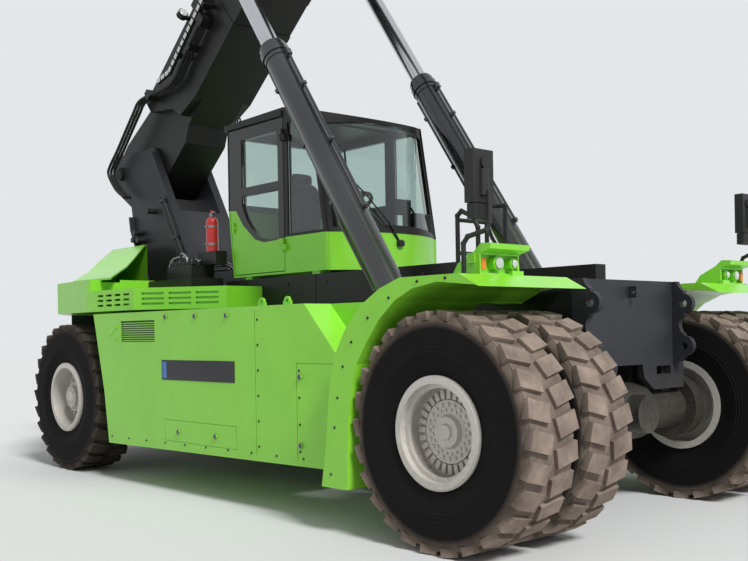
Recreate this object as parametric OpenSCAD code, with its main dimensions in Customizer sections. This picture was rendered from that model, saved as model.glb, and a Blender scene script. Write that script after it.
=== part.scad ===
// Container-handling reach stacker, electric, 45 t class.
// X runs forward, Y to the machine's left, Z up; the ground is Z = 0.
// Inside the modules X = 0 is the front axle; placed() moves the whole
// machine so that the middle of its length stands over the origin.

/* [Wheels] */
// Distance from the front axle to the rear axle
wheelbase = 6000; // [5900:10:6100]
// Outside diameter of every tyre over its lugs
tyre_d = 1640; // [1600:10:1660]
// Section width of a tyre
tyre_w = 490; // [460:5:500]
// Diameter of the tyre's bead on the rim
bead_d = 700; // [680:5:720]
// Outside diameter of the rim's flange rings
rim_flange_d = 772; // [750:2:790]
// Distance of an outer front tyre's middle from the centreline
outer_tyre_y = 1830; // [1820:5:1850]
// Distance of an inner front tyre's middle from the centreline
inner_tyre_y = 1220; // [1210:5:1235]
// Distance of a rear tyre's middle from the centreline
rear_tyre_y = 1630; // [1620:5:1650]
// Distance of a kingpin from the centreline
kingpin_y = 1290; // [1270:5:1300]

/* [Frame] */
// Height of the top of the side beams
frame_top = 1780; // [1760:5:1800]
// Distance of a side beam's outer face from the centreline
frame_half = 680; // [670:5:690]
// Thickness of a side beam, as a box section
beam_w = 140; // [120:10:200]
// Thickness of the front plate
front_plate_t = 60; // [40:5:70]
// Radius of the bores in the front lugs
lug_bore_r = 32.5; // [25:0.5:36]
// Height of the upper bore of a front lug
lug_upper_z = 1690; // [1670:5:1700]
// Height of the lower bore of a front lug
lug_lower_z = 1340; // [1330:5:1360]
// Height of the cab rails
rail_h = 290; // [250:10:310]

/* [Body panels] */
// Distance of the side cabinets' outer face from the centreline
cabinet_half = 1900; // [1880:5:1920]
// Height of the top of the side cabinets
cabinet_top = 1735; // [1720:5:1750]
// Distance of the fenders' outer edge from the centreline
fender_half = 2085; // [2080:5:2120]
// Distance of the tail's side from the centreline
tail_half = 1850; // [1820:5:1880]

/* [Boom] */
// Height of the boom's pivot
pivot_z = 3670; // [3650:5:3700]
// Elevation of the boom as it is parked
boom_angle = 39; // [36:0.5:42]
// Width of the outer boom
boom_w = 800; // [780:10:820]
// Length of the outer boom from its pivot to its mouth
outer_len = 8350; // [8300:10:8500]
// Distance along the boom from its pivot to the head's pin
head_reach = 9300; // [9250:10:9400]
// Drop of the head's pin below the boom's pivot line
head_drop = 1500; // [1480:10:1560]
// Wall of the boom's side plates
boom_wall = 20; // [16:1:30]

/* [Lift cylinders] */
// Distance of a cylinder from the centreline
cyl_y = 1020; // [1010:5:1030]
// Outside radius of a barrel
barrel_r = 130; // [120:2:138]
// Radius of a rod
rod_r = 88; // [80:1:95]
// Length from a barrel's pin to the end of its gland
barrel_len = 3650; // [3600:10:3680]

/* [Cab] */
// Width of the cab
cab_w = 1520; // [1500:10:1540]
// Length of the cab's straight sides
cab_len = 1630; // [1610:5:1650]
// Height of the cab's roof
cab_roof_z = 3770; // [3740:5:3780]
// How far the front screen leans back
screen_lean = 9.5; // [8:0.5:11]
// Thickness of the cab's panels and posts
cab_wall = 60; // [50:5:70]

/* [Spreader] */
// Half of the twistlock spacing along the spreader, drawn in
spreader_half = 2927; // [2900:1:2950]
// Half of the twistlock spacing across the spreader
lock_half = 1130; // [1125:1:1135]
// Height from the head's pin down to the top of the telescoping tubes
tube_drop = 1680; // [1670:5:1720]

/* [Hidden] */

$fn = 48;
// Gap between pieces that are fixed to each other
seat_gap = 0.3;
// Radial clearance of a shaft in its bore
fit_gap = 0.05;
// Clearance of pieces that pass each other
pass_gap = 10;

GREEN = [0.42, 0.76, 0.24];
BLACK = [0.10, 0.10, 0.11];
GREY = [0.24, 0.24, 0.26];
STEEL = [0.62, 0.63, 0.65];
TYRE = [0.10, 0.10, 0.10];
CHROME = [0.80, 0.81, 0.83];
GLASS = [0.55, 0.68, 0.72, 0.4];
RED = [0.80, 0.10, 0.10];

axle_z = tyre_d / 2;
rear_x = -wheelbase;

// The head's pin and the front of the spreader set the machine's front end
pivot_x = -wheelbase - 1430;
head_x = pivot_x + head_reach * cos(boom_angle) + head_drop * sin(boom_angle);
head_z = pivot_z + head_reach * sin(boom_angle) - head_drop * cos(boom_angle);
end_beam_half = lock_half + 90;
front_tip_x = head_x + end_beam_half;
// Radius of the tower's rounded ends about the boom's pivot, and how far the tail reaches back
tower_eye_r = 250;
tail_reach = 1680;
hose_r = 18;
// How much thicker a tube or hose is at its bends
elbow = 2.5;
rear_tip_x = min(pivot_x - tower_eye_r, rear_x - tail_reach);
// Travel of the inner boom, and of each of the spreader's beams
extend_max = 6200;
beam_travel = 3066;
middle_x = (front_tip_x + rear_tip_x) / 2;

// Places a piece that is drawn from the front axle
module placed() translate([-middle_x, 0, 0]) children();

// A copy on each side: +1 is the left, -1 the right
module side(s) if (s > 0) children(); else mirror([0, 1, 0]) children();

// A profile in X and Z, extruded along Y from y0 to y1
module along_y(y0, y1) translate([0, y1, 0]) rotate([90, 0, 0])
    linear_extrude(y1 - y0) children();

// A profile in Y and Z, extruded along X from x0 to x1
module along_x(x0, x1) translate([x0, 0, 0]) rotate([90, 0, 90])
    linear_extrude(x1 - x0) children();

// A box from one corner to the other
module box(a, b) translate(a) cube([b[0] - a[0], b[1] - a[1], b[2] - a[2]]);

// A cylinder along Y from y0 to y1 about x, z
module rod_y(x, z, r, y0, y1) translate([x, y1, z]) rotate([90, 0, 0])
    cylinder(r = r, h = y1 - y0);

// A round bar between two points, and one that follows several points
module strut(a, b, r) {
    d = b - a;
    translate(a) rotate([0, acos(d[2] / norm(d)), atan2(d[1], d[0])]) cylinder(r = r, h = norm(d), $fn = 24);
}
module tube(points, r) {
    for (k = [1 : len(points) - 1]) strut(points[k - 1], points[k], r);
    if (len(points) > 2) for (k = [1 : len(points) - 2]) translate(points[k]) sphere(r = r + elbow, $fn = 24);
}

// Pieces whose tables are drawn from the rear axle
module at_rear() translate([rear_x, 0, 0]) children();

// A ring along Y with a bore
module ring_y(x, z, r, bore, y0, y1) difference() {
    rod_y(x, z, r, y0, y1);
    rod_y(x, z, bore, y0 - 1, y1 + 1);
}

// Wheels
rim_r = rim_flange_d / 2;
bead_r = bead_d / 2;
hub_r = 215;
hub_bore_r = 90;
rim_half = tyre_w / 2 - 20;
flange_t = 22;

// Section of a tyre's carcass: [radius, half width] from the bead out to the foot of the lugs
lug_h = 34;
lug_count = 26;
lug_long = 128;
lug_wide = 205;
lug_slant = 14;
tread_r = axle_z - lug_h;
tread_half = tyre_w / 2 - 32;
// Tops of the lugs, so that their corners reach the tyre's outside radius
lug_reach = lug_long / 2 * cos(lug_slant) + lug_wide / 2 * sin(lug_slant);
lug_top = sqrt(axle_z * axle_z - lug_reach * lug_reach);
lug_phase = 180 / lug_count - asin(lug_reach / axle_z);
bead_clear = 11;
TYRE_SECTION = [[bead_r, rim_half - flange_t - bead_clear], [rim_r + 154, tyre_w / 2], [tread_r - 46, tyre_w / 2 - 5],
    [tread_r - 6, tread_half]];
module tyre_lugs() for (s = [-1, 1]) for (k = [0 : lug_count - 1])
    rotate([0, (k + (s > 0 ? 0.5 : 0)) * 360 / lug_count + lug_phase, 0])
        translate([0, s * (tyre_w / 2 - 12 - lug_wide / 2), tread_r - 30]) rotate([0, 0, s * lug_slant])
            translate([-lug_long / 2, -lug_wide / 2, 0]) cube([lug_long, lug_wide, lug_top - tread_r + 30]);
// The tread under the lugs has one flat for each lug
module tread_base() difference() {
    along_y(-tread_half, tread_half) polygon([for (k = [0 : lug_count - 1]) let (a = (k + 0.5) * 360 / lug_count)
        [tread_r / cos(180 / lug_count) * cos(a), tread_r / cos(180 / lug_count) * sin(a)]]);
    rod_y(0, 0, tread_r - 60, -tread_half - 1, tread_half + 1);
}
module tyre_at(x, y) {
    outline = concat(TYRE_SECTION, [for (i = [len(TYRE_SECTION) - 1 : -1 : 0]) [TYRE_SECTION[i][0], -TYRE_SECTION[i][1]]]);
    translate([x, y, axle_z]) {
        rotate([90, 0, 0]) rotate_extrude($fn = 96) polygon(outline);
        rotate([0, 90, 0]) tread_base();
        tyre_lugs();
    }
}

// Section of a rim: a drum with a flange ring at each end, just inside the tyre's bead
bead_gap = 0.9;
module rim_drum(x, y) translate([x, y, axle_z]) rotate([90, 0, 0]) rotate_extrude($fn = 96) {
    translate([bead_r - 18, -rim_half]) square([18 - bead_gap, 2 * rim_half]);
    for (s = [-1, 1])
        translate([bead_r - 18, s > 0 ? rim_half - flange_t : -rim_half])
            square([rim_r - bead_r + 18, flange_t]);
}

// Disc or tube about a wheel's axis, from y0 to y1
module wheel_ring(x, r_out, r_in, y0, y1) ring_y(x, axle_z, r_out, r_in, y0, y1);

// Both rims of one side with their hub, drawn on the left
hub_face_y = outer_tyre_y + 95;
wedge_count = 28;
module front_rims() {
    rim_drum(0, outer_tyre_y);
    rim_drum(0, inner_tyre_y);
    // Lock ring and the step inside the outer flange
    wheel_ring(0, rim_r - 12, bead_r - 20, outer_tyre_y + rim_half - 1, outer_tyre_y + rim_half + 8);
    wheel_ring(0, bead_r - 17, bead_r - 50, outer_tyre_y + rim_half - 70, outer_tyre_y + rim_half - 40);
    wheel_ring(0, bead_r - 17, hub_r - 5, hub_face_y - 75, hub_face_y - 35);
    wheel_ring(0, bead_r - 17, bead_r - 45, inner_tyre_y + rim_half - 10, outer_tyre_y - rim_half + 10);
    wheel_ring(0, bead_r - 17, hub_r - 5, inner_tyre_y - 40, inner_tyre_y);
    difference() {
        rod_y(0, axle_z, hub_r, 1000, hub_face_y);
        rod_y(0, axle_z, hub_bore_r + fit_gap, 999, 1500);
    }
    wheel_ring(0, hub_r + 52, hub_r - 1, hub_face_y - 36, hub_face_y - 26);
    for (k = [0 : wedge_count - 1]) translate([0, 0, axle_z]) rotate([0, k * 360 / wedge_count, 0])
        translate([-17, hub_face_y - 27, hub_r + 8]) cube([34, 26, 62]);
}

module front_rims_right() placed() color(STEEL) side(-1) front_rims();
module front_rims_left() placed() color(STEEL) side(1) front_rims();
module front_tyres_right() placed() color(TYRE) side(-1) {
    tyre_at(0, outer_tyre_y);
    tyre_at(0, inner_tyre_y);
}
module front_tyres_left() placed() color(TYRE) side(1) {
    tyre_at(0, outer_tyre_y);
    tyre_at(0, inner_tyre_y);
}

// Rear rim, drawn on the left: its dish holds the hub on the spindle
spindle_r = 70;
rear_hub_y = rear_tyre_y - 60;
module rear_rim() {
    rim_drum(rear_x, rear_tyre_y);
    wheel_ring(rear_x, bead_r - 17, 150, rear_hub_y + 60, rear_hub_y + 95);
    wheel_ring(rear_x, rim_r - 12, bead_r - 20, rear_tyre_y + rim_half - 1, rear_tyre_y + rim_half + 8);
    for (k = [0 : wedge_count - 1]) translate([rear_x, 0, axle_z]) rotate([0, k * 360 / wedge_count, 0])
        translate([-13, rear_hub_y + 94, 228]) cube([26, 22, 56]);
    difference() {
        union() {
            rod_y(rear_x, axle_z, 165, rear_hub_y, rear_tyre_y + 120);
            rod_y(rear_x, axle_z, 120, rear_tyre_y + 119, rear_tyre_y + 165);
        }
        rod_y(rear_x, axle_z, spindle_r + fit_gap, rear_hub_y - 1, rear_tyre_y + 60);
    }
}
module rear_rim_right() placed() color(STEEL) side(-1) rear_rim();
module rear_rim_left() placed() color(STEEL) side(1) rear_rim();
module rear_tyre_right() placed() color(TYRE) side(-1) tyre_at(rear_x, rear_tyre_y);
module rear_tyre_left() placed() color(TYRE) side(1) tyre_at(rear_x, rear_tyre_y);

// Axles
module front_axle() placed() color(BLACK) {
    rod_y(0, axle_z, 180, -945, 945);
    rod_y(0, axle_z, 235, -270, 270);
    translate([200, 0, axle_z]) rotate([0, 90, 0]) cylinder(r = 150, h = 130);
    for (s = [-1, 1]) side(s) {
        rod_y(0, axle_z, 270, 815, 960);
        rod_y(0, axle_z, hub_bore_r, 940, 1480);
        box([-170, frame_half - beam_w + 10, axle_z + 120],
            [plate_x - 1, frame_half - 10, front_beam_z - seat_gap]);
    }
}

king_r = 60;
knuckle_half_h = 150;
ear_t = 60;
module rear_axle() placed() color(BLACK) {
    box([rear_x - 150, -kingpin_y + 190, axle_z - 140], [rear_x + 150, kingpin_y - 190, axle_z + 140]);
    box([rear_x - 260, -frame_half + 10, axle_z + 139], [rear_x + 260, frame_half - 10, rear_beam_z - seat_gap]);
    // Steering cylinder behind the beam
    rod_y(rear_x - 230, axle_z + 40, 75, -360, 360);
    rod_y(rear_x - 230, axle_z + 40, 34, -620, 620);
    for (y = [-300, 240]) box([rear_x - 240, y, axle_z - 90], [rear_x - 149, y + 60, axle_z + 90]);
    for (s = [-1, 1]) side(s) difference() {
        union() {
            for (up = [0, 1]) {
                z0 = axle_z + (up ? knuckle_half_h + 1 : -knuckle_half_h - 1 - ear_t);
                translate([rear_x, kingpin_y, z0]) cylinder(r = 125, h = ear_t);
                box([rear_x - 125, kingpin_y - 200, z0], [rear_x + 125, kingpin_y, z0 + ear_t]);
            }
            box([rear_x - 125, kingpin_y - 290, axle_z - knuckle_half_h - 1 - ear_t],
                [rear_x + 125, kingpin_y - 189, axle_z + knuckle_half_h + 1 + ear_t]);
        }
        translate([rear_x, kingpin_y, axle_z - 400]) cylinder(r = king_r + fit_gap, h = 800);
    }
}

module knuckle() {
    translate([rear_x, kingpin_y, axle_z - knuckle_half_h]) cylinder(r = 115, h = 2 * knuckle_half_h);
    translate([rear_x, kingpin_y, axle_z - knuckle_half_h - ear_t - 20])
        cylinder(r = king_r, h = 2 * (knuckle_half_h + ear_t + 20));
    rod_y(rear_x, axle_z, spindle_r, kingpin_y + 50, rear_tyre_y + 40);
    rod_y(rear_x, axle_z, 130, kingpin_y + 90, rear_hub_y - 5);
}
module knuckle_right() placed() color(BLACK) side(-1) knuckle();
module knuckle_left() placed() color(BLACK) side(1) knuckle();

// Frame
front_beam_z = 1180;
rear_beam_z = 1200;
belly_z = 640;
plate_x = 110;
// Side beam seen from the side: [x, z]
BEAM_PROFILE = [[plate_x - seat_gap, frame_top], [plate_x - seat_gap, front_beam_z],
    [-620, front_beam_z], [-980, belly_z], [rear_x + 1250, belly_z],
    [rear_x + 650, rear_beam_z], [rear_x - 1000, rear_beam_z], [rear_x - 1000, frame_top]];

lift_x = -1080;
lift_z = 1250;
lift_pin_r = 65;
lift_eye_half = 100;

module chassis_frame() placed() color(BLACK) {
    for (s = [-1, 1]) side(s) {
        along_y(frame_half - beam_w, frame_half) polygon(BEAM_PROFILE);
        // Foot of the lift cylinder: two ears and the pin they carry
        for (y = [cyl_y - lift_eye_half - 50, cyl_y + lift_eye_half + 10])
            along_y(y, y + 40) {
                translate([lift_x, lift_z]) circle(r = 130);
                translate([lift_x - 170, 960]) square([300, lift_z - 960]);
            }
        box([lift_x - 170, frame_half - 5, 960], [lift_x + 130, cyl_y + lift_eye_half + 50, 1040]);
        rod_y(lift_x, lift_z, lift_pin_r, cyl_y - lift_eye_half - 55, cyl_y + lift_eye_half + 55);
    }
    // Deck and cross members
    box([rear_x - 1000, -frame_half + 1, frame_top - 20], [plate_x - seat_gap, frame_half - 1, frame_top]);
    for (x = [-900, -2400, rear_x + 900])
        box([x - 100, -frame_half + 10, 1300], [x + 100, frame_half - 10, frame_top - 5]);
    box([-1500, -frame_half + beam_w - 1, 700], [-1300, frame_half - beam_w + 1, 1250]);
}

// Front plate seen from the front: [y, z] of its left half
PLATE_HALF = [[0, 1875], [frame_half, 1875], [frame_half, 1205], [800, 1195], [800, 990],
    [340, 990], [200, 1090], [175, 1200], [0, 1200]];
// Lug seen from the side: two round lobes on a strip, drawn from the plate's face
lug_x = 105;
lug_t = 50;
lobe_r = 82;
plate_face_x = plate_x + front_plate_t;
module lug_profile() difference() {
    union() {
        translate([-front_plate_t, 1205]) square([front_plate_t + 105, 670]);
        for (z = [lug_upper_z, lug_lower_z]) translate([lug_x, z]) circle(r = lobe_r);
    }
    translate([158, (lug_upper_z + lug_lower_z) / 2]) circle(r = 96);
    translate([160, 1900]) circle(r = 118);
    translate([165, 1150]) circle(r = 112);
}

module front_plate() placed() color(GREY) {
    difference() {
        along_x(plate_x, plate_face_x) {
            polygon(PLATE_HALF);
            mirror([1, 0]) polygon(PLATE_HALF);
        }
        for (s = [-1, 1]) side(s) {
            box([plate_x - 1, 380, 1110], [plate_face_x + 1, 600, 1180]);
            box([plate_x - 1, frame_half - lug_t, 1205], [plate_face_x + 1, frame_half + 1, 1876]);
        }
    }
    // Towing eye at the top of the plate
    difference() {
        box([plate_face_x - 1, -15, 1735], [plate_face_x + 75, 15, 1825]);
        rod_y(plate_face_x + 45, 1780, 17, -20, 20);
    }
    for (s = [-1, 1]) side(s) difference() {
        along_y(frame_half - lug_t, frame_half) translate([plate_face_x, 0]) lug_profile();
        for (z = [lug_upper_z, lug_lower_z])
            rod_y(plate_face_x + lug_x, z, lug_bore_r, frame_half - lug_t - 1, frame_half + 1);
    }
}

rail_top = frame_top + rail_h;
rail_in = 590;
rail_out = 740;
// Seams between a rail's cover plates
RAIL_SEAMS = [-4033, -2857, -1500];
module cab_rails() placed() color(BLACK)
    for (s = [-1, 1]) side(s)
        difference() {
            box([rear_x + 1600, rail_in, frame_top + seat_gap], [-550, rail_out, rail_top]);
            // Seams between its cover plates
            for (x = RAIL_SEAMS) box([x, rail_out - 6, frame_top], [x + 8, rail_out + 1, rail_top + 1]);
        }

// Tower, its tables drawn from the rear axle
tower_in = 300;
tower_t = 50;
flange_out = 410;
pivot_pin_r = 90;
tower_z0 = frame_top + seat_gap;
cross_top = 3050;
lean = 0.59;
// Where the tower's front face stands at a height
function tower_front(z) = 690 - (z - 1780) * lean;
// Tower plate seen from the side: [x, z]
TOWER = [[-760, tower_z0], [-700, 2080], [-1120, 2880], [-1180, 3200], [-1600, 3460], [-1560, 3860],
    [-1150, 3900], [tower_front(3900), 3900], [tower_front(tower_z0), tower_z0]];
// Pipes down the right of the tower: [distance behind its front face, height of the bend, end]
TOWER_PIPES = [[70, 2290, -4790], [110, 2240, -4790], [150, 2190, -5150]];
module front_strip(z1, y0, y1) along_y(y0, y1)
    polygon([[tower_front(tower_z0), tower_z0], [tower_front(z1), z1],
        [tower_front(z1) - 30, z1 - 18], [tower_front(tower_z0) - 35, tower_z0]]);
module boom_tower() placed() color(GREY) at_rear() {
    for (s = [-1, 1]) side(s) {
        difference() {
            along_y(tower_in, tower_in + tower_t) {
                polygon(TOWER);
                translate([pivot_x - rear_x, pivot_z]) circle(r = tower_eye_r);
            }
            rod_y(pivot_x - rear_x, pivot_z, pivot_pin_r + fit_gap, 0, 600);
        }
        front_strip(3840, tower_in + 1, flange_out);
        // Rear stiffener of the plate
        along_y(tower_in + tower_t - 1, tower_in + tower_t + 60)
            polygon([[-760, tower_z0], [-700, 2080], [-1120, 2880], [-1150, 3060], [-1115, 3060],
                [-1085, 2880], [-665, 2080], [-725, tower_z0]]);
    }
    front_strip(cross_top, -tower_in - 1, tower_in + 1);
    // Web between the plates, behind
    along_y(-tower_in - 1, tower_in + 1)
        polygon([[-700, tower_z0], [-680, 2100], [-1090, 2860], [-1050, 2880], [-640, 2110], [-640, tower_z0]]);
}
pipe_y = -flange_out - 22;
function pipe_x(k, z) = rear_x + tower_front(z) - TOWER_PIPES[k][0];
module tower_pipes() placed() color(STEEL) {
    for (k = [0 : 2])
        tube([[pipe_x(k, 3250), pipe_y, 3250], [pipe_x(k, TOWER_PIPES[k][1]), pipe_y, TOWER_PIPES[k][1]],
            [TOWER_PIPES[k][2], pipe_y - 6, TOWER_PIPES[k][1] - 3]], 14);
    // Clamps that stand on the tower's plate
    for (z = [3180, 2700])
        box([pipe_x(2, z) - 30, pipe_y - 22, z - 18],
            [pipe_x(0, z) + 20, -tower_in - tower_t - seat_gap, z + 18]);
    // Couplings beside the plate
    for (q = [[-950, 2740], [-900, 2830], [-820, 2730], [-560, 3080]]) translate([rear_x, 0, 0])
        rod_y(q[0], q[1], 34, -tower_in - tower_t - 130, -tower_in - tower_t - seat_gap);
}

// Body panels
cabinet_x1 = -1180;
// Cabinet seen from the side, drawn in by an inset
function cabinet_side(e, x0) = [[max(rear_x + 1110 + e, x0), 390 + e], [cabinet_x1 - e, 440 + e],
    [cabinet_x1 - e, cabinet_top - e], [max(rear_x + 800 + e, x0), cabinet_top - e],
    [max(rear_x + 1020 + e, x0 + 1), 930]];
// The cabinet's front part is narrow, to leave the lift cylinder its place
narrow_y = 1290;
narrow_x = -2300;
cabinet_wall = 12;
// Depth of the cut at the cabinet's upper front corner
nick_depth = 280;
module cabinet_space(inset) difference() {
    along_y(frame_half + seat_gap + inset, cabinet_half - inset) polygon(cabinet_side(inset, -9999));
    box([narrow_x - inset, 0, 300], [cabinet_x1 + 1, narrow_y + inset, 1800]);
    along_y(cabinet_half - nick_depth - inset, cabinet_half + 1) translate([-1.3 * inset, 0])
        polygon([[-1589, cabinet_top + 50], [-1589, cabinet_top + 8], [-1182, 1325], [-1100, 1241], [-1000, 1900]]);
}
// Seams on a cabinet's outer face: [x0, z0, x1, z1]
groove = 7;
SEAMS = [[-2259, 470, -2251, 1700], [-1694, 470, -1686, 1262], [-1694, 1255, -1190, 1262],
    [-3752, 494, -2547, 500], [-3752, 694, -2547, 700], [-3752, 494, -3746, 700], [-2553, 494, -2547, 700]];
vent_x = [rear_x + 1400, rear_x + 2080];
vent_z = [1440, 1650];
// Latches and locks: [x, z]
LATCHES = [[-3705, 1676], [-3185, 1671], [-2674, 1665], [-4700, 1590], [-4700, 1470], [-4800, 1530], [-3500, 590],
    [-2873, 590], [-1640, 1150], [-1640, 600]];
module cabinet() {
    difference() {
        cabinet_space(0);
        cabinet_space(cabinet_wall);
        for (q = SEAMS) box([q[0], cabinet_half - groove, q[1]], [q[2], cabinet_half + 1, q[3]]);
        box([vent_x[0], cabinet_half - 20, vent_z[0]], [vent_x[1], cabinet_half + 1, vent_z[1]]);
    }
    // Slats of the vent
    for (z = [vent_z[0] + 8 : 22 : vent_z[1] - 14])
        box([vent_x[0] - 1, cabinet_half - 21, z], [vent_x[1] + 1, cabinet_half - 5, z + 9]);
    for (q = LATCHES) rod_y(q[0], q[1], 18, cabinet_half - 1, cabinet_half + 12);
    // Lifting tabs on the top
    for (x = [-2680, -2300]) difference() {
        along_y(cabinet_half - 400, cabinet_half - 380) {
            translate([x - 55, cabinet_top - 1]) square([110, 50]);
            translate([x, cabinet_top + 49]) circle(r = 42);
        }
        rod_y(x, cabinet_top + 52, 18, cabinet_half - 410, cabinet_half - 370);
    }
}
module cabinet_right() placed() color(GREEN) side(-1) cabinet();
module cabinet_left() placed() color(GREEN) side(1) cabinet();

module battery_block() placed() color(GREY)
    box([-4900, -frame_half + beam_w + seat_gap, 720], [-2600, frame_half - beam_w - seat_gap, 1250]);

// Fender seen from the side: outer edge from the front lip to the rear foot, then the inner edge
fender_top = 1870;
lip_in = 940;
FENDER = [[260, fender_top], [-290, fender_top], [-490, 1805], [-700, 1690], [-870, 1520], [-980, 1350],
    [-1050, 1150], [-1075, 950], [-1105, 700], [-1165, 350],
    [-880, 350], [-860, 700], [-850, 900], [-800, 1120], [-750, 1270], [-655, 1405], [-500, 1590],
    [-340, 1715], [-170, 1790], [60, 1825], [400, 1790], [430, 1780]];
module fender() {
    difference() {
        along_y(frame_half + seat_gap, fender_half) polygon(FENDER);
        box([-1300, 600, 300], [-850, 1300, 1400]);
        box([-1300, 600, 300], [plate_x + 400, 1190, 1700]);
        box([60, 600, 1700], [plate_x + 400, lip_in, 1900]);
    }
    // Lamp pod on the front of the fender, with its visor and two lamps
    difference() {
        along_y(pod_y[0], pod_y[1]) polygon([[-60, fender_top - 1], [0, 1955], [150, 2030], [210, 2082], [300, 2075],
            [290, 2040], [pod_face_x, 2015], [pod_face_x, fender_top - 1]]);
        box([pod_face_x - 40, pod_y[0] + 18, fender_top + 14], [pod_face_x + 1, pod_y[1] - 18, 2005]);
    }
    box([pod_face_x, pod_y[0] - 10, fender_top - 1], [pod_face_x + 30, pod_y[0] + 110, fender_top + 32]);
    for (q = LAMPS) pod_lamp(q);
    along_y(pod_y[1] - 1, pod_y[1] + 8) translate([90, 1950]) square([70, 70]);
}
// Lamps of a pod: [y, z, radius]
pod_y = [1400, 1810];
pod_face_x = 200;
LAMPS = [[1640, 1950, 50], [1480, 1952, 38]];
module pod_lamp(q) translate([pod_face_x - 41, q[0], q[1]]) rotate([0, 90, 0]) {
    cylinder(r = q[2], h = 60);
    cylinder(r = q[2] - 8, h = 66);
}
module fender_right() placed() color(GREEN) side(-1) fender();
module fender_left() placed() color(GREEN) side(1) fender();

// Cast counterweight behind and above the rear axle, seen from above
cw_x1 = rear_x - 1000 - seat_gap;
CW_PLAN = [[cw_x1, -1300], [cw_x1, 1300], [rear_x - 1620, 900], [rear_x - 1620, -900]];
module counterweight() placed() color(GREY) {
    translate([0, 0, 560]) linear_extrude(tail_z0 - seat_gap - 560) polygon(CW_PLAN);
}

// Tail seen from above, right half of its outline from the front, drawn from the rear axle: [x, y]
TAIL = [[2260, 1180], [1480, 1790], [700, tail_half], [560, tail_half + 5], [-420, 1740], [-1340, 1150],
    [-tail_reach, 700]];
tail_z0 = 1765;
tail_z1 = 2120;
louvre_z1 = 1990;
louvre_x = 640;
tail_wall = 16;
// Hood over the tail, right half of its outline from the front: [x, y]
HOOD = [[-560, 480], [0, 950], [900, 1740], [-20, 1730], [-930, 950], [-1450, 420]];
HOOD_RISE = [[1800, 2110], [1250, 2300], [560, 2640], [0, 2670]];
function mirrored(half) = concat([for (p = half) [p[0], -p[1]]],
    [for (i = [len(half) - 1 : -1 : 0]) half[i]]);
function drawn_in(half, e) = [for (p = half) [p[0] > 0 ? p[0] - 1.4 * e : p[0] + 1.4 * e, p[1] - 1.4 * e]];
module tail_box(e) {
    translate([0, 0, tail_z0 + e]) linear_extrude(louvre_z1 - tail_z0 - 2 * e) polygon(mirrored(drawn_in(TAIL, e)));
    translate([0, 0, tail_z0 + e]) linear_extrude(tail_z1 - tail_z0 - 2 * e) intersection() {
        polygon(mirrored(drawn_in(TAIL, e)));
        translate([-3000, -3000]) square([3000 + louvre_x - e, 6000]);
    }
}
module hood(e) intersection() {
    translate([0, 0, tail_z1 - 60 + e]) linear_extrude(900) polygon(mirrored(drawn_in(HOOD, e)));
    along_x(-1700 - e, 1800) translate([0, -1.2 * e])
        polygon(concat([for (p = HOOD_RISE) [-p[0], p[1]]], [for (i = [len(HOOD_RISE) - 2 : -1 : 0]) HOOD_RISE[i]]));
}
// Place of the frame, the tower and the machinery deck in the middle
module tail_middle(e) {
    well = rail_out + seat_gap + e;
    box([-1240 - e, -well, tail_z0 - 1], [3000, well, tail_z1 + 1]);
    box([-1560 - e, -480 - e, tail_z1 - 61], [3000, 480 + e, 2900]);
}
// One louvre on a face that runs from a to b: columns, rows of slots
module louvres(a, b, columns, z0) {
    long = norm(b - a);
    pitch = (long - 120) / columns;
    translate([a[0], a[1], 0]) rotate([0, 0, atan2(b[1] - a[1], b[0] - a[0])])
        for (c = [0 : columns - 1]) for (r = [0 : 2])
            translate([60 + c * pitch + 25, -30, z0 + r * 52]) cube([pitch - 50, 39, 22]);
}
module tail_hood() placed() color(GREEN) at_rear() {
    difference() {
        union() {
            tail_box(0);
            hood(0);
        }
        difference() {
            union() {
                tail_box(tail_wall);
                hood(tail_wall);
            }
            tail_middle(tail_wall);
        }
        tail_middle(0);
        for (s = [-1, 1]) side(s) {
            louvres([1480, 1790], [2260, 1180], 3, 1815);
            louvres([700, tail_half], [1480, 1790], 4, 1815);
        }
    }
    // Lamps at the corners of the tail
    for (s = [-1, 1]) side(s) for (z = [1880, 1960])
        translate([-1500, 920, z]) rotate([0, -90, -37]) cylinder(r = 42, h = 60);
}

module valve_block() placed() color(BLACK) {
    box([-5340, -1150, louvre_z1 + seat_gap], [-4450, -745, 2110]);
    box([-5100, -1050, 2109], [-4600, -760, 2260]);
    box([-4690, -900, 2259], [-4350, -700 - 60, 2400]);
}
module red_bottle() placed() color(RED) {
    translate([-4520, -830, 2400 + seat_gap]) {
        rotate_extrude($fn = 96) polygon([[0, 0], [66, 0], [66, 330], [60, 352], [44, 368], [24, 376], [24, 420],
            [14, 420], [14, 450], [0, 450]]);
    }
}

// Cab: a green body and a black frame with its panes above it
cab_x0 = rear_x + 1700;
cab_x1 = cab_x0 + cab_len;
cab_z0 = rail_top + 30;
cab_floor = cab_z0 + 50;
cab_half = cab_w / 2;
bow_rise = 250;
bow_half = cab_half - 30;
bow_trim = 6;
bow_r = (bow_half * bow_half + bow_rise * bow_rise) / (2 * bow_rise);
sill_z = cab_z0 + 365;
rear_bend_z = cab_z0 + 723;
rear_slant = 85;
roof_t = 70;
roof_break_x = cab_x0 + 1000;
roof_fall = 0.234;
door_x0 = cab_x0 + 30;
door_x1 = cab_x0 + 980;
front_end = cab_x1 + bow_rise + 60;
pane_t = 8;
pane_in = 20;

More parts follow.
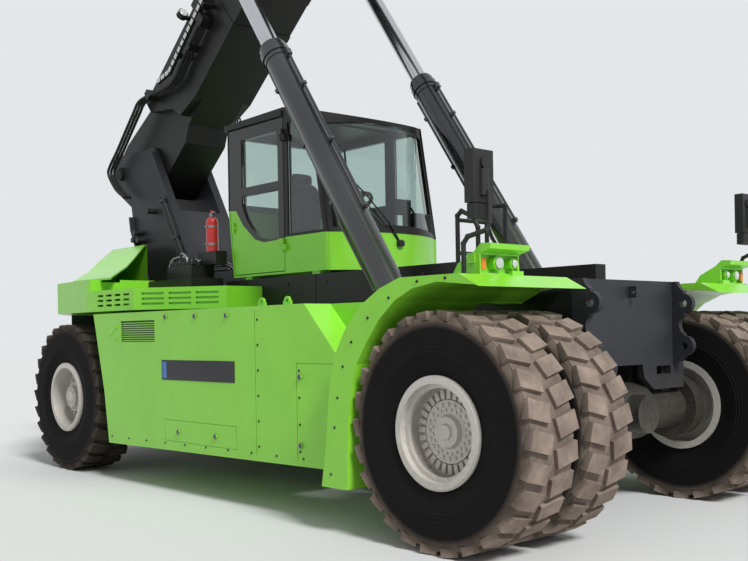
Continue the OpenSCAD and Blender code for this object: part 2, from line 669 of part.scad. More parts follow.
// Plan of the front with its bow, drawn from the corners and in by a wall
module front_plan(e) {
    translate([-600, -cab_half + e]) square([600 - e, cab_w - 2 * e]);
    intersection() {
        translate([bow_rise - bow_r, 0]) circle(r = bow_r - e, $fn = 96);
        translate([-e - 1, -bow_half + bow_trim + e]) square([bow_rise + 100, 2 * (bow_half - bow_trim - e)]);
    }
}
module leaned() translate([cab_x1, 0, sill_z]) rotate([0, -screen_lean, 0]) children();
function roof_z(x) = x < roof_break_x ? cab_roof_z - 20 * (roof_break_x - x) / 1000
    : cab_roof_z - roof_fall * (x - roof_break_x);
// Cab seen from the side, drawn in by a wall and by the roof's thickness
function cab_side(e, t) = [[cab_x0 + rear_slant + e, cab_z0 - 1], [cab_x0 + e, rear_bend_z],
    [cab_x0 + e, roof_z(cab_x0) - t], [roof_break_x, cab_roof_z - t], [front_end, roof_z(front_end) - t],
    [front_end, cab_z0 - 1]];
module cab_space(e, t, upper) intersection() {
    union() {
        translate([0, 0, cab_z0]) linear_extrude(sill_z - cab_z0) {
            translate([cab_x1, 0]) front_plan(e);
            translate([cab_x0, -cab_half + e]) square([cab_len - 500, cab_w - 2 * e]);
        }
        box([cab_x0, -cab_half + e, sill_z - 1], [cab_x1 - 400, cab_half - e, cab_roof_z + 1]);
        if (upper) intersection() {
            leaned() translate([0, 0, -150]) linear_extrude(1700) front_plan(e);
            box([cab_x1 - 580, -cab_half, sill_z - 1], [front_end, cab_half, cab_roof_z + 1]);
        }
    }
    along_y(-cab_half - 1, cab_half + 1) polygon(cab_side(e, t));
}
function door_side(e) = [[cab_x0 + rear_slant + 30 - e, cab_z0 + 30 - e], [door_x0 - e, rear_bend_z],
    [door_x0 - e, cab_roof_z - 100 + e], [door_x1 + e, cab_roof_z - 100 + e], [door_x1 + e, cab_z0 + 30 - e]];
module door_hole() along_y(-cab_half - 10, -cab_half + cab_wall + 10) polygon(door_side(pass_gap));
// Windows: both sides beside the screen, the left side at the back, the rear
window_z0 = sill_z + 28;
window_z1 = cab_roof_z - 165;
function front_window(g) = [[door_x1 + 70 + g, window_z0 + g], [cab_x1 - 35 - g, window_z0 + g],
    [cab_x1 - 35 - g - (window_z1 - window_z0) * tan(screen_lean), window_z1 - g], [door_x1 + 70 + g, window_z1 - g]];
function back_window(g) = [[cab_x0 + 120 + g, rear_bend_z + 70 + g], [door_x1 - 60 - g, rear_bend_z + 70 + g],
    [door_x1 - 60 - g, window_z1 - g], [cab_x0 + 120 + g, window_z1 - g]];
screen_side = bow_half - 45;
screen_h = 1080;
module screen_hole(g) leaned() box([8 + g, -screen_side + g, 40 + g], [400, screen_side - g, screen_h - g]);
module side_panes(g, y0, y1) {
    for (s = [-1, 1]) side(s) along_y(y0, y1) polygon(front_window(g));
    along_y(y0, y1) polygon(back_window(g));
}
module rear_pane(g, x0, x1) box([x0, -560 + g, rear_bend_z + 70 + g], [x1, 560 - g, window_z1 - g]);
module cab_shell(upper) difference() {
    cab_space(0, 0, upper);
    intersection() {
        cab_space(cab_wall, roof_t, upper);
        box([cab_x0, -cab_half, cab_floor], [front_end, cab_half, cab_roof_z]);
    }
    door_hole();
    side_panes(0, cab_half - 100, cab_half + 10);
    rear_pane(0, cab_x0 - 10, cab_x0 + 100);
    screen_hole(0);
}
// Where the green body ends and the black frame begins, seen from the side
module split(g) along_y(-cab_half - 50, cab_half + 50)
    polygon([[cab_x0 - 100, cab_z0 - 50], [cab_x0 - 100, rear_bend_z - g], [cab_x0 + 130, rear_bend_z - g],
        [cab_x0 + 480, sill_z - g], [front_end, sill_z - g], [front_end, cab_z0 - 50]]);
module cab_body() placed() color(GREEN) {
    intersection() {
        cab_shell(false);
        split(0);
    }
    cab_hinge(HINGE_Z[0]);
    for (s = [-1, 1]) side(s) for (x = [cab_x0 + 250, cab_x1 - 250])
        box([x, 600, rail_top + seat_gap], [x + 120, 730, cab_z0 + 1]);
}
module cab_frame() placed() color(BLACK) {
    difference() {
        cab_shell(true);
        split(-seat_gap);
    }
    // Visor rim above the door and the rear
    box([cab_x0 - 30, -cab_half - 20, cab_roof_z - 88], [door_x1, cab_half + 20, cab_roof_z - 28]);
    cab_hinge(HINGE_Z[1]);
    // Lifting rings on the roof
    for (s = [-1, 1]) side(s) difference() {
        along_y(cab_half - 70, cab_half - 58) {
            translate([cab_x0 + 130, cab_roof_z + 18]) circle(r = 34);
            translate([cab_x0 + 96, cab_roof_z - 30]) square([68, 48]);
        }
        rod_y(cab_x0 + 130, cab_roof_z + 20, 17, cab_half - 80, cab_half - 50);
    }
}
module cab_glass() placed() color(GLASS) {
    intersection() {
        leaned() difference() {
            translate([0, 0, -50]) linear_extrude(1400) front_plan(pane_in);
            translate([0, 0, -60]) linear_extrude(1500) front_plan(pane_in + pane_t);
        }
        screen_hole(seat_gap);
    }
    side_panes(seat_gap, cab_half - pane_in - pane_t, cab_half - pane_in);
    rear_pane(seat_gap, cab_x0 + pane_in, cab_x0 + pane_in + pane_t);
}

// Hinges of the door, outside its front edge: the door carries the pins
hinge_y = -cab_half - 22;
hinge_r = 18;
hinge_pin_r = 9;
HINGE_Z = [cab_z0 + 230, cab_z0 + 1330];
module hinge_eye(z, bore_r) difference() {
    translate([door_x1 + pass_gap / 2, hinge_y, z]) cylinder(r = hinge_r, h = 60);
    translate([door_x1 + pass_gap / 2, hinge_y, z - 1]) cylinder(r = bore_r, h = 62);
}
module cab_hinge(z) {
    hinge_eye(z, hinge_pin_r + fit_gap);
    box([door_x1 + pass_gap + 9, hinge_y - 10, z], [door_x1 + 60, -cab_half + 1, z + 60]);
}
module door_hinge(z) {
    translate([door_x1 + pass_gap / 2, hinge_y, z - 5]) cylinder(r = hinge_pin_r, h = 70);
    translate([door_x1 + pass_gap / 2, hinge_y, z + 61]) cylinder(r = hinge_r, h = 60);
    box([door_x1 - 70, hinge_y - 10, z + 61], [door_x1 - 4, -cab_half + 1, z + 121]);
    box([door_x1 - 40, hinge_y - 10, z + 61], [door_x1 + 5, hinge_y + 10, z + 121]);
}

// Door seen from the side: the lower pane has a round foot
pane_x0 = door_x0 + 220;
pane_x1 = door_x1 - 90;
module door_panes(g) {
    translate([pane_x0 + g, cab_z0 + 942 + g]) square([pane_x1 - pane_x0 - 2 * g, 505 - 2 * g]);
    intersection() {
        translate([pane_x0 + g, sill_z + g]) square([pane_x1 - pane_x0 - 2 * g, 490 - 2 * g]);
        translate([door_x0 + 790, cab_z0 + 946]) circle(r = 595 - g, $fn = 96);
    }
}
module cab_door() placed() color(GREEN) {
    difference() {
        along_y(-cab_half, -cab_half + cab_wall) polygon(door_side(0));
        along_y(-cab_half - 1, -cab_half + cab_wall + 1) door_panes(0);
    }
    for (z = HINGE_Z) door_hinge(z);
    // Lock beside the rear edge
    rod_y(door_x0 + 75, cab_z0 + 530, 22, -cab_half - 14, -cab_half + 1);
    along_y(-cab_half - 26, -cab_half - 13) translate([door_x0 + 60, cab_z0 + 480]) square([30, 110]);
}
module door_glass() placed() color(GLASS)
    along_y(-cab_half + pane_in, -cab_half + pane_in + pane_t) door_panes(seat_gap);

seat_x = cab_x0 + 600;
wheel_x = seat_x + 640;
module seat() placed() color(BLACK) {
    box([seat_x - 200, -260, cab_floor + seat_gap], [seat_x + 200, 260, cab_z0 + 330]);
    box([seat_x - 280, -280, cab_z0 + 329], [seat_x + 280, 280, cab_z0 + 450]);
    box([seat_x - 360, -250, cab_z0 + 400], [seat_x - 240, 250, cab_z0 + 1150]);
}
module console() placed() color(GREY) {
    box([wheel_x - 60, -90, cab_floor + seat_gap], [wheel_x + 60, 90, cab_z0 + 700]);
    translate([wheel_x, 0, cab_z0 + 650]) rotate([0, -25, 0]) {
        cylinder(r = 40, h = 110);
        difference() {
            translate([0, 0, 90]) cylinder(r = 200, h = 30);
            translate([0, 0, 80]) cylinder(r = 170, h = 60);
        }
        translate([-180, -20, 92]) cube([360, 40, 24]);
    }
}

// Mirrors on both fenders, drawn on the right: each housing hangs on a bent tube
mirror_at = [200, -1805];
mirror_foot = [120, -1880];
// The left mirror stands further out, clear of the turned spreader
left_mirror_out = 50;
module side_mirror() placed() color(BLACK) for (s = [-1, 1]) side(s) translate([0, s < 0 ? -left_mirror_out : 0, 0]) {
    translate([mirror_at[0], mirror_at[1], 0]) {
        difference() {
            translate([-40, -102, 2345]) cube([80, 204, 355]);
            translate([-41, -94, 2353]) cube([14, 188, 339]);
        }
        translate([-30, -90, 2240]) cube([66, 180, 100]);
        translate([-10, -30, 2339]) cube([30, 60, 8]);
        translate([38, 0, 2395]) cylinder(r = 36, h = 175);
        translate([39, 10, 2610]) rotate([0, 90, 0]) cylinder(r = 40, h = 18);
    }
    tube([[280, -1800, 2420], [280, -1800, 2210], [265, -1820, 2160], [150, -1870, 2125],
        [mirror_foot[0], mirror_foot[1], 2080], [mirror_foot[0], mirror_foot[1], fender_top + seat_gap]], 17);
    strut([240, -1800, 2450], [280, -1800, 2410], 17);
    translate([mirror_foot[0], mirror_foot[1], fender_top + seat_gap]) cylinder(r = 50, h = 12);
}
// Handrail hoops at the front of the deck, on the right fender
module handrails() placed() color(BLACK) side(-1) {
    tube([[-280, 1500, fender_top + seat_gap], [-280, 1500, 2330], [-240, 1500, 2360], [-130, 1500, 2310],
        [-85, 1500, 2230], [-85, 1500, fender_top + seat_gap]], 17);
    tube([[-280, 1180, fender_top + seat_gap], [-280, 1180, 2420], [-100, 1180, 2410],
        [-100, 1180, fender_top + seat_gap]], 17);
    strut([-280, 1180, 2060], [-280, 1500, 2060], 15);
    strut([-280, 1180, 2300], [-280, 1500, 2300], 15);
}

// Lift cylinders
eye_reach = 3900;
eye_drop = 300;
eye_x = pivot_x + eye_reach * cos(boom_angle) + eye_drop * sin(boom_angle);
eye_z = pivot_z + eye_reach * sin(boom_angle) - eye_drop * cos(boom_angle);
cyl_len = sqrt(pow(eye_x - lift_x, 2) + pow(eye_z - lift_z, 2));
cyl_tilt = atan2(lift_x - eye_x, eye_z - lift_z);
rod_len = 3540;
bore_r = rod_r + fit_gap;

// Stands a piece that is drawn upward from the lower pin along the cylinder
module on_cylinder() translate([lift_x, cyl_y, lift_z]) rotate([0, -cyl_tilt, 0]) children();

module lift_barrel() on_cylinder() {
    difference() {
        union() {
            rotate([90, 0, 0]) translate([0, 0, -lift_eye_half]) cylinder(r = 125, h = 2 * lift_eye_half);
            translate([0, 0, 60]) cylinder(r = 95, h = 120);
            translate([0, 0, 150]) cylinder(r = barrel_r, h = barrel_len - 150 - 130);
            translate([0, 0, barrel_len - 200]) cylinder(r = barrel_r + 8, h = 170);
            translate([0, 0, barrel_len - 150]) cylinder(r = barrel_r + 20, h = 60);
            translate([0, 0, barrel_len - 60]) cylinder(r = barrel_r - 6, h = 60);
        }
        rotate([90, 0, 0]) translate([0, 0, -500]) cylinder(r = lift_pin_r + fit_gap, h = 1000);
        translate([0, 0, 220]) cylinder(r = bore_r, h = barrel_len);
    }
    // Pipe behind the barrel, from the head's port to the hose at its lower clamp
    pipe_out = barrel_r + 34;
    tube([[-barrel_r + 10, 0, barrel_len - 180], [-pipe_out, 0, barrel_len - 180], [-pipe_out, 0, hose_top]], 16);
    for (z = [hose_top + 60, hose_top + 760, hose_top + 1460])
        translate([-pipe_out - 22, -30, z]) cube([pipe_out - barrel_r + 32, 60, 40]);
    tube([[-pipe_out, 0, hose_top + 5], [-pipe_out - 25, 0, hose_top - 180], [-pipe_out - 10, 0, hose_top - 900],
        [-barrel_r - 20, 0, 330], [-60, 0, 240]], 20);
    translate([barrel_r - 8, -24, barrel_len - 260]) cube([60, 48, 70]);
    tube([[barrel_r + 30, 0, barrel_len - 250], [barrel_r + 30, 0, 1500]], 12);
    for (z = [1520, 2300, 3000]) translate([barrel_r - 10, -22, z]) cube([58, 44, 34]);
}
hose_top = 1750;
module lift_rod() on_cylinder() difference() {
    union() {
        translate([0, 0, cyl_len - rod_len]) cylinder(r = rod_r, h = rod_len - 60);
        translate([0, 0, cyl_len]) rotate([90, 0, 0]) translate([0, 0, -95]) cylinder(r = 130, h = 190);
    }
    translate([0, 0, cyl_len]) rotate([90, 0, 0]) translate([0, 0, -500]) cylinder(r = 65, h = 1000);
}
module lift_barrel_right() placed() color(BLACK) side(-1) lift_barrel();
module lift_barrel_left() placed() color(BLACK) side(1) lift_barrel();
module lift_rod_right() placed() color(CHROME) side(-1) lift_rod();
module lift_rod_left() placed() color(CHROME) side(1) lift_rod();

// Boom, drawn along X from its pivot and then raised
boom_top = 140;
boom_bottom = -690;
boom_half = boom_w / 2;
// Top of the arms that carry the rods' eyes, below the pipes
arm_top = -130;
root_half = tower_in - pass_gap;
module on_boom() translate([pivot_x, 0, pivot_z]) rotate([0, -boom_angle, 0]) children();

// Knee of the side plates: [along, above the pivot line]
KNEE = [[1110, -40], [1480, -395], [1550, -600], [1930, boom_bottom]];
module outer_boom() placed() color(BLACK) on_boom() {
    difference() {
        union() {
            // Side plates with their cut-away knee, drawn as one body and then hollowed
            along_y(-boom_half, boom_half)
                polygon(concat([[1110, boom_top]], KNEE, [[outer_len, boom_bottom], [outer_len, boom_top]]));
            // Root between the tower plates
            along_y(-root_half, root_half)
                polygon([[-60, -230], [360, -795], [1300, -800], [1500, boom_bottom + 1], [2100, boom_bottom + 1],
                    [2100, boom_top - 1], [1000, boom_top - 1], [300, 250], [-60, 240]]);
            rod_y(0, 0, 240, -root_half, root_half);
        }
        // Inside of the root
        along_y(-root_half + 40, root_half - 40)
            polygon([[300, -640], [400, -755], [1280, -760], [1500, boom_bottom + 40], [1901, boom_bottom + 40],
                [1901, boom_top - 40], [1000, boom_top - 40], [300, 190]]);
        // Space for the inner boom
        box([1900, -boom_half + boom_wall, boom_bottom + boom_wall],
            [outer_len + 1, boom_half - boom_wall, boom_top - boom_wall]);
    }
    boom_lamp();
    // Collar at the mouth
    difference() {
        box([outer_len - 330, -boom_half - 22, boom_bottom - 22], [outer_len, boom_half + 22, boom_top + 22]);
        box([outer_len - 331, -boom_half + 1, boom_bottom + 1], [outer_len + 1, boom_half - 1, boom_top - 1]);
    }
    // Straps under and beside the box
    for (a = [2900, 5600, 7000]) difference() {
        box([a, -boom_half - 8, boom_bottom - 8], [a + 90, boom_half + 8, boom_top + 8]);
        box([a - 1, -boom_half + 1, boom_bottom + 1], [a + 91, boom_half - 1, boom_top - 1]);
    }
    // Pivot pin, carried in both tower plates
    rod_y(0, 0, pivot_pin_r, -tower_in - tower_t - 30, tower_in + tower_t + 30);
    // Arms that carry the rods' eyes
    for (s = [-1, 1]) side(s) {
        rod_y(eye_reach, -eye_drop, 130, boom_half - 1, cyl_y - 95 - pass_gap);
        along_y(boom_half - 1, boom_half + 60) polygon([[eye_reach - 500, boom_bottom + 60],
            [eye_reach + 500, boom_bottom + 60], [eye_reach + 180, arm_top], [eye_reach - 180, arm_top]]);
    }
}

// Pipes along the right of the boom, a chain tray and the hoses over the pivot
pipe_side = -boom_half - 60;
hose_step = 44;
hose_lap = 4;
// Route of the hoses: [along the boom, above its pivot line]
HOSE_ROUTE = [[60, -520], [-30, -280], [-45, 10], [60, 70], [330, 75], [900, 115], [1170, 100], [1600, -210],
    [1850, -335], [2700, -290]];
hose_count = 3;
link_pitch = 90;
CHAIN = [[1600, -110], [1870, -240], [2930, -190]];
module boom_pipes() placed() color(STEEL) on_boom() {
    for (k = [0 : 3])
        translate([2700, pipe_side, 60 - 55 * k]) rotate([0, 90, 0]) cylinder(r = 14, h = outer_len - 3100);
    for (a = [3100, 4400, 5200, 6100, 6700, 7600])
        box([a, pipe_side - 22, -130], [a + 60, -boom_half - seat_gap, 90]);
    // Hoses of eight flat sides, each length a little past its bends
    for (k = [0 : hose_count - 1]) translate([0, pipe_side + 26 - hose_step * k, 0])
        for (n = [1 : len(HOSE_ROUTE) - 1]) let (a = HOSE_ROUTE[n - 1], b = HOSE_ROUTE[n])
            translate([a[0], 0, a[1]]) rotate([0, 90 - atan2(b[1] - a[1], b[0] - a[0]), 0])
                translate([0, 0, -hose_lap]) cylinder(r = hose_r, h = norm(b - a) + 2 * hose_lap, $fn = 8);
    // Block that joins the hoses to the pipes, behind the chain
    box([2640, pipe_side - 90, -350], [2760, -boom_half - seat_gap, -215]);
    box([2640, pipe_side + 2, -350], [2760, -boom_half - seat_gap, 90]);
    box([2640, pipe_side - 22, -130], [2760, -boom_half - seat_gap, 90]);
    for (k = [1 : len(CHAIN) - 1]) {
        a = CHAIN[k - 1];
        b = CHAIN[k];
        links = floor(norm(b - a) / link_pitch);
        step = norm(b - a) / links;
        translate([a[0], pipe_side - 92 + 2 * k, a[1]]) rotate([0, -atan2(b[1] - a[1], b[0] - a[0]), 0]) {
            cube([norm(b - a) + 10, 40 - 3 * k, 56]);
            for (i = [0 : links - 1]) translate([i * step, -3, -3]) cube([step - 14, 30, 62]);
        }
    }
    // Clamps of the hoses and arms of the chain
    box([1300, pipe_side - 84, -60], [1380, -boom_half - seat_gap, 60]);
    for (a = [2100, 2840]) box([a, pipe_side - 97, -235], [a + 50, -boom_half - seat_gap, -190]);
    box([2300, pipe_side - 84, -350], [2360, -boom_half - seat_gap, -280]);
}
// Lamp on the right of the boom
module boom_lamp() translate([2480, -boom_half - 150, 60]) {
    rotate([0, 100, 0]) cylinder(r = 62, h = 70);
    translate([-20, 60, -20]) cube([40, 92, 40]);
}

inner_gap = 26;
inner_half = boom_half - boom_wall - inner_gap;
inner_bottom = boom_bottom + boom_wall + inner_gap;
inner_top = boom_top - boom_wall - inner_gap;
tail_a = 2000;
head_pin_r = 70;
// Head seen from the side: [along, above the pivot line]
HEAD = [[outer_len - 50, inner_bottom], [head_reach - 700, inner_bottom], [head_reach - 330, -1050],
    [head_reach - 230, -head_drop - 60], [head_reach + 210, -head_drop - 40], [head_reach + 330, -1050],
    [head_reach + 330, -250], [head_reach + 60, inner_top], [outer_len - 50, inner_top]];
module inner_boom() placed() color(BLACK) on_boom() {
    difference() {
        union() {
            box([tail_a, -inner_half, inner_bottom], [outer_len, inner_half, inner_top]);
            along_y(-inner_half, inner_half) {
                polygon(HEAD);
                translate([head_reach, -head_drop]) circle(r = 210);
            }
        }
        // Inside of the box and of the head
        along_y(-inner_half + boom_wall, inner_half - boom_wall)
            polygon([[tail_a - 1, inner_bottom + boom_wall], [head_reach - 700, inner_bottom + boom_wall],
                [head_reach - 450, -730], [head_reach + 300, -730], [head_reach + 300, -270],
                [head_reach + 40, inner_top - boom_wall], [tail_a - 1, inner_top - boom_wall]]);
        // Gap between the head's cheeks
        box([head_reach - 500, -inner_half + 90, -head_drop - 300], [head_reach + 500, inner_half - 90, -760]);
        rod_y(head_reach, -head_drop, head_pin_r + fit_gap, -900, 900);
    }
    // Wear pads at the tail and at the mouth
    for (a = [tail_a + 20, tail_a + 900]) {
        for (s = [-1, 1]) side(s)
            box([a, inner_half - 1, -400], [a + 250, boom_half - boom_wall - seat_gap, -150]);
        box([a, -150, inner_bottom - inner_gap + seat_gap], [a + 250, 150, inner_bottom + 1]);
        box([a, -150, inner_top - 1], [a + 250, 150, inner_top + inner_gap - seat_gap]);
    }
}

// Head and spreader, hanging level from the head's pin
module at_head() translate([head_x, 0, head_z]) children();
cheek_in = inner_half - 90;
yoke_half = cheek_in - pass_gap;
slew_r = 420;
slew_z = -900;
module yoke() placed() color(BLACK) at_head() {
    along_y(-yoke_half, yoke_half) {
        circle(r = 150);
        polygon([[-150, 0], [150, 0], [230, -520], [-230, -520]]);
    }
    rod_y(0, 0, head_pin_r, -inner_half - 20, inner_half + 20);
    translate([0, 0, slew_z + 180 + seat_gap]) cylinder(r = slew_r, h = 220);
}
carriage_z = -1080;
module rotator() placed() color(BLACK) at_head() {
    translate([0, 0, slew_z]) cylinder(r = slew_r - 20, h = 180);
    box([-600, -560, slew_z - 90], [600, 560, slew_z + 1]);
    for (s = [-1, 1])
        for (y = [-560, 360])
            box([s * 530 - 70, y, carriage_z - 60], [s * 530 + 70, y + 200, slew_z - 89]);
}
tube_z1 = -tube_drop;
tube_h = 340;
tube_w = 320;
tube_x = 230;
tube_wall = 14;
frame_len = 1900;
module spreader_frame() placed() color(GREEN) at_head() {
    for (s = [-1, 1]) difference() {
        box([s * tube_x - tube_w / 2, -frame_len, tube_z1 - tube_h], [s * tube_x + tube_w / 2, frame_len, tube_z1]);
        box([s * tube_x - tube_w / 2 + tube_wall, -frame_len - 1, tube_z1 - tube_h + tube_wall],
            [s * tube_x + tube_w / 2 - tube_wall, frame_len + 1, tube_z1 - tube_wall]);
    }
    // Side-shift rails on their posts
    for (s = [-1, 1]) {
        box([s * 530 - 40, -1450, carriage_z - 110], [s * 530 + 40, 1450, carriage_z - 60 - seat_gap]);
        for (y = [-1400, -40, 1320])
            box([s * 530 - 30, y, tube_z1 - 1], [s * 530 + 30, y + 80, carriage_z - 109]);
    }
    for (y = [-1400, -40, 1320])
        box([-560, y, tube_z1 - 1], [560, y + 80, tube_z1 + 40]);
    // Telescoping cylinders between the tubes and their brackets
    for (s = [-1, 1]) {
        translate([s * 28, 0, tube_z1 - 120]) rotate([s * 90, 0, 0]) cylinder(r = 24, h = 1700);
        box([-tube_x + tube_w / 2 - 1, s * 1500 - 30, tube_z1 - 150], [tube_x - tube_w / 2 + 1, s * 1500 + 30, tube_z1 - 90]);
    }
}
arm_gap = 10;
arm_half = tube_w / 2 - tube_wall - arm_gap;
arm_z0 = tube_z1 - tube_h + tube_wall + arm_gap;
arm_z1 = tube_z1 - tube_wall - arm_gap;
end_z0 = tube_z1 - tube_h - 20;
lock_r = 52;
lock_collar = 40;
module spreader_beam() at_head() {
    difference() {
        union() {
            box([tube_x - arm_half, -1800, arm_z0], [tube_x + arm_half, spreader_half - 149, arm_z1]);
            box([-end_beam_half, spreader_half - 150, end_z0], [end_beam_half, spreader_half + 150, tube_z1 - 10]);
        }
        box([tube_x - arm_half + 14, -1801, arm_z0 + 14], [tube_x + arm_half - 14, spreader_half - 160, arm_z1 - 14]);
        box([-end_beam_half + 30, spreader_half - 136, end_z0 + 40],
            [end_beam_half - 30, spreader_half + 136, tube_z1 - 26]);
    }
    // Twistlocks: a collar, a neck and the cone that turns in a corner casting
    for (x = [-lock_half, lock_half]) translate([x, spreader_half, end_z0]) {
        translate([0, 0, -lock_collar]) cylinder(r = lock_r, h = lock_collar + 1);
        translate([0, 0, -lock_collar - 60]) cylinder(r = 30, h = 61);
        translate([0, 0, -lock_collar - 130]) cylinder(r1 = 26, r2 = lock_r - 2, h = 72);
        box([-90, -149, 0], [90, 149, 60]);
    }
    // Pads that run in the tube
    for (y = [-1780, 1500])
        box([tube_x - 60, y, tube_z1 - tube_h + tube_wall + seat_gap], [tube_x + 60, y + 200, tube_z1 - tube_wall - seat_gap]);
}
module spreader_beam_left() placed() color(GREEN) spreader_beam();
module spreader_beam_right() placed() color(GREEN) translate([2 * head_x, 0, 0]) rotate([0, 0, 180]) spreader_beam();

chassis_frame();
front_plate();
boom_tower();
cab_rails();
counterweight();
tail_hood();
cabinet_right();
cabinet_left();
battery_block();
fender_right();
fender_left();
side_mirror();
handrails();
tower_pipes();
valve_block();
red_bottle();
front_axle();
rear_axle();
knuckle_right();
knuckle_left();
front_rims_right();
front_tyres_right();
front_rims_left();
front_tyres_left();
rear_rim_right();
rear_tyre_right();
rear_rim_left();
rear_tyre_left();
cab_body();
cab_frame();
cab_glass();
cab_door();
door_glass();
seat();
console();
lift_barrel_right();
lift_barrel_left();
lift_rod_right();
lift_rod_left();
outer_boom();
boom_pipes();
inner_boom();
yoke();
rotator();
spreader_frame();
spreader_beam_right();
spreader_beam_left();
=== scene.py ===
# %% [markdown]
# A reach stacker lifts loaded containers with a telescopic boom. This lesson takes the exact
# solids of the machine and gives them their paint, rubber, glass and small parts.
# Nothing here changes a size: each piece is placed from the solids' own boxes.

# %% Load the solids
import math

import bmesh
import bpy
from mathutils import Matrix, Vector


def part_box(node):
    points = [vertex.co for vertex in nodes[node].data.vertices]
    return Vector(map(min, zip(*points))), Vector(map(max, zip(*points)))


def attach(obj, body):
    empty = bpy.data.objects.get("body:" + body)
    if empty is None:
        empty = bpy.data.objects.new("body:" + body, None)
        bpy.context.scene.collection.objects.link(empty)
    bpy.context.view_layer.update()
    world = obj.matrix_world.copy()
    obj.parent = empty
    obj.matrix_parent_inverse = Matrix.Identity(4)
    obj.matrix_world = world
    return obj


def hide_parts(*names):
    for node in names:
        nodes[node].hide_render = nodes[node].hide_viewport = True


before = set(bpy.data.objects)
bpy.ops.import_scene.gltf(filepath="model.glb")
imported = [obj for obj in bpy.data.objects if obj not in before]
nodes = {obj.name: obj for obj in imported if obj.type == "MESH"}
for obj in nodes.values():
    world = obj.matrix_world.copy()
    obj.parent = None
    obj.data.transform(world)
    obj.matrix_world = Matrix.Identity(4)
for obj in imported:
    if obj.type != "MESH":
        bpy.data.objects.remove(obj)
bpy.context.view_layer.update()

# %% [markdown]
# On the drawing every length is measured from the front axle. The solids are centred on
# their own box, so one number, the front axle's place, turns the one into the other.

# %% Places measured from the front axle
rim_low, rim_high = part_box("front_rims_right")
AXLE_X = (rim_low[0] + rim_high[0]) / 2
AXLE_Z = (rim_low[2] + rim_high[2]) / 2
WHEELBASE = 6.0
BOOM_PIVOT = (-7.43, 3.67)
BOOM_ANGLE = math.radians(39)


def at(x, y, z):
    return Vector((x + AXLE_X, y, z))


def on_boom(along, y, above):
    c, s = math.cos(BOOM_ANGLE), math.sin(BOOM_ANGLE)
    return at(BOOM_PIVOT[0] + along * c - above * s, y, BOOM_PIVOT[1] + along * s + above * c)


print("front axle at", round(AXLE_X, 4), round(AXLE_Z, 4))

# %% [markdown]
# Colours are written as sRGB hex values, as a paint maker would give them. Blender mixes
# light in linear values, so one function turns the one into the other. A second small
# function adds a node to a tree with its settings and links in one line.

# %% Colour and node helpers
def colour(hex_value):
    channels = [int(hex_value[i : i + 2], 16) / 255 for i in (1, 3, 5)]
    return (*[c / 12.92 if c <= 0.04045 else ((c + 0.055) / 1.055) ** 2.4 for c in channels], 1.0)


def add(tree, kind, values=None, links=None, **settings):
    node = tree.nodes.new(kind)
    for key, value in settings.items():
        setattr(node, key, value)
    for key, value in (values or {}).items():
        node.inputs[key].default_value = value
    for key, source in (links or {}).items():
        tree.links.new(source, node.inputs[key])
    return node


# %% [markdown]
# Machine enamel is sprayed on steel. It is even and glossy when new, then dust settles on
# it and the lower panels get road dirt. The dirt follows a large soft noise and grows
# towards the ground, so a shader can paint it from the object's own height.

# %% Painted steel
DUST = colour("#8C8474")


def painted(name, base, roughness, coat=0.0, dust_top=1.3, dust_most=0.3, metallic=0.0, mottle=0.06, grain=0.0, gloss=0.5):
    material = bpy.data.materials.new(name)
    material.use_nodes = True
    tree = material.node_tree
    shader = tree.nodes["Principled BSDF"]
    shader.inputs["Metallic"].default_value = metallic
    shader.inputs["Coat Weight"].default_value = coat
    shader.inputs["Coat Roughness"].default_value = 0.12
    shader.inputs["Specular IOR Level"].default_value = gloss
    place = add(tree, "ShaderNodeTexCoord").outputs["Object"]
    # Patches of about 400 mm
    patches = add(tree, "ShaderNodeTexNoise", {"Scale": 2.4, "Detail": 5.0, "Roughness": 0.6}, {"Vector": place})
    # Spatter of about 25 mm
    spatter = add(tree, "ShaderNodeTexNoise", {"Scale": 38.0, "Detail": 3.0}, {"Vector": place})
    height = add(tree, "ShaderNodeSeparateXYZ", None, {"Vector": place}).outputs["Z"]
    low = add(tree, "ShaderNodeMapRange", {"From Min": dust_top, "From Max": 0.25, "To Min": 0.03, "To Max": dust_most},
        {"Value": height})
    both = add(tree, "ShaderNodeMath", None, {0: patches.outputs["Fac"], 1: spatter.outputs["Fac"]}, operation="MULTIPLY")
    more = add(tree, "ShaderNodeMath", {1: 3.2}, {0: both.outputs[0]}, operation="MULTIPLY", use_clamp=True)
    dust = add(tree, "ShaderNodeMath", None, {0: low.outputs[0], 1: more.outputs[0]}, operation="MULTIPLY", use_clamp=True)
    shade = add(tree, "ShaderNodeMapRange", {"From Min": 0.3, "From Max": 0.7, "To Min": 1.0 - mottle, "To Max": 1.0 + mottle},
        {"Value": patches.outputs["Fac"]})
    if isinstance(base, str):
        worn = add(tree, "ShaderNodeVectorMath", {0: colour(base)[:3]}, {"Scale": shade.outputs[0]}, operation="SCALE")
    else:
        worn = add(tree, "ShaderNodeVectorMath", None, {0: base(tree, place), "Scale": shade.outputs[0]}, operation="SCALE")
    mix = add(tree, "ShaderNodeMix", {7: DUST}, {0: dust.outputs[0], 6: worn.outputs[0]}, data_type="RGBA")
    tree.links.new(mix.outputs[2], shader.inputs["Base Color"])
    rough = add(tree, "ShaderNodeMapRange", {"To Min": roughness, "To Max": 0.85}, {"Value": dust.outputs[0]})
    tree.links.new(rough.outputs[0], shader.inputs["Roughness"])
    if grain:
        bump = add(tree, "ShaderNodeBump", {"Strength": grain, "Distance": 0.002}, {"Height": spatter.outputs["Fac"]})
        tree.links.new(bump.outputs[0], shader.inputs["Normal"])
    return material


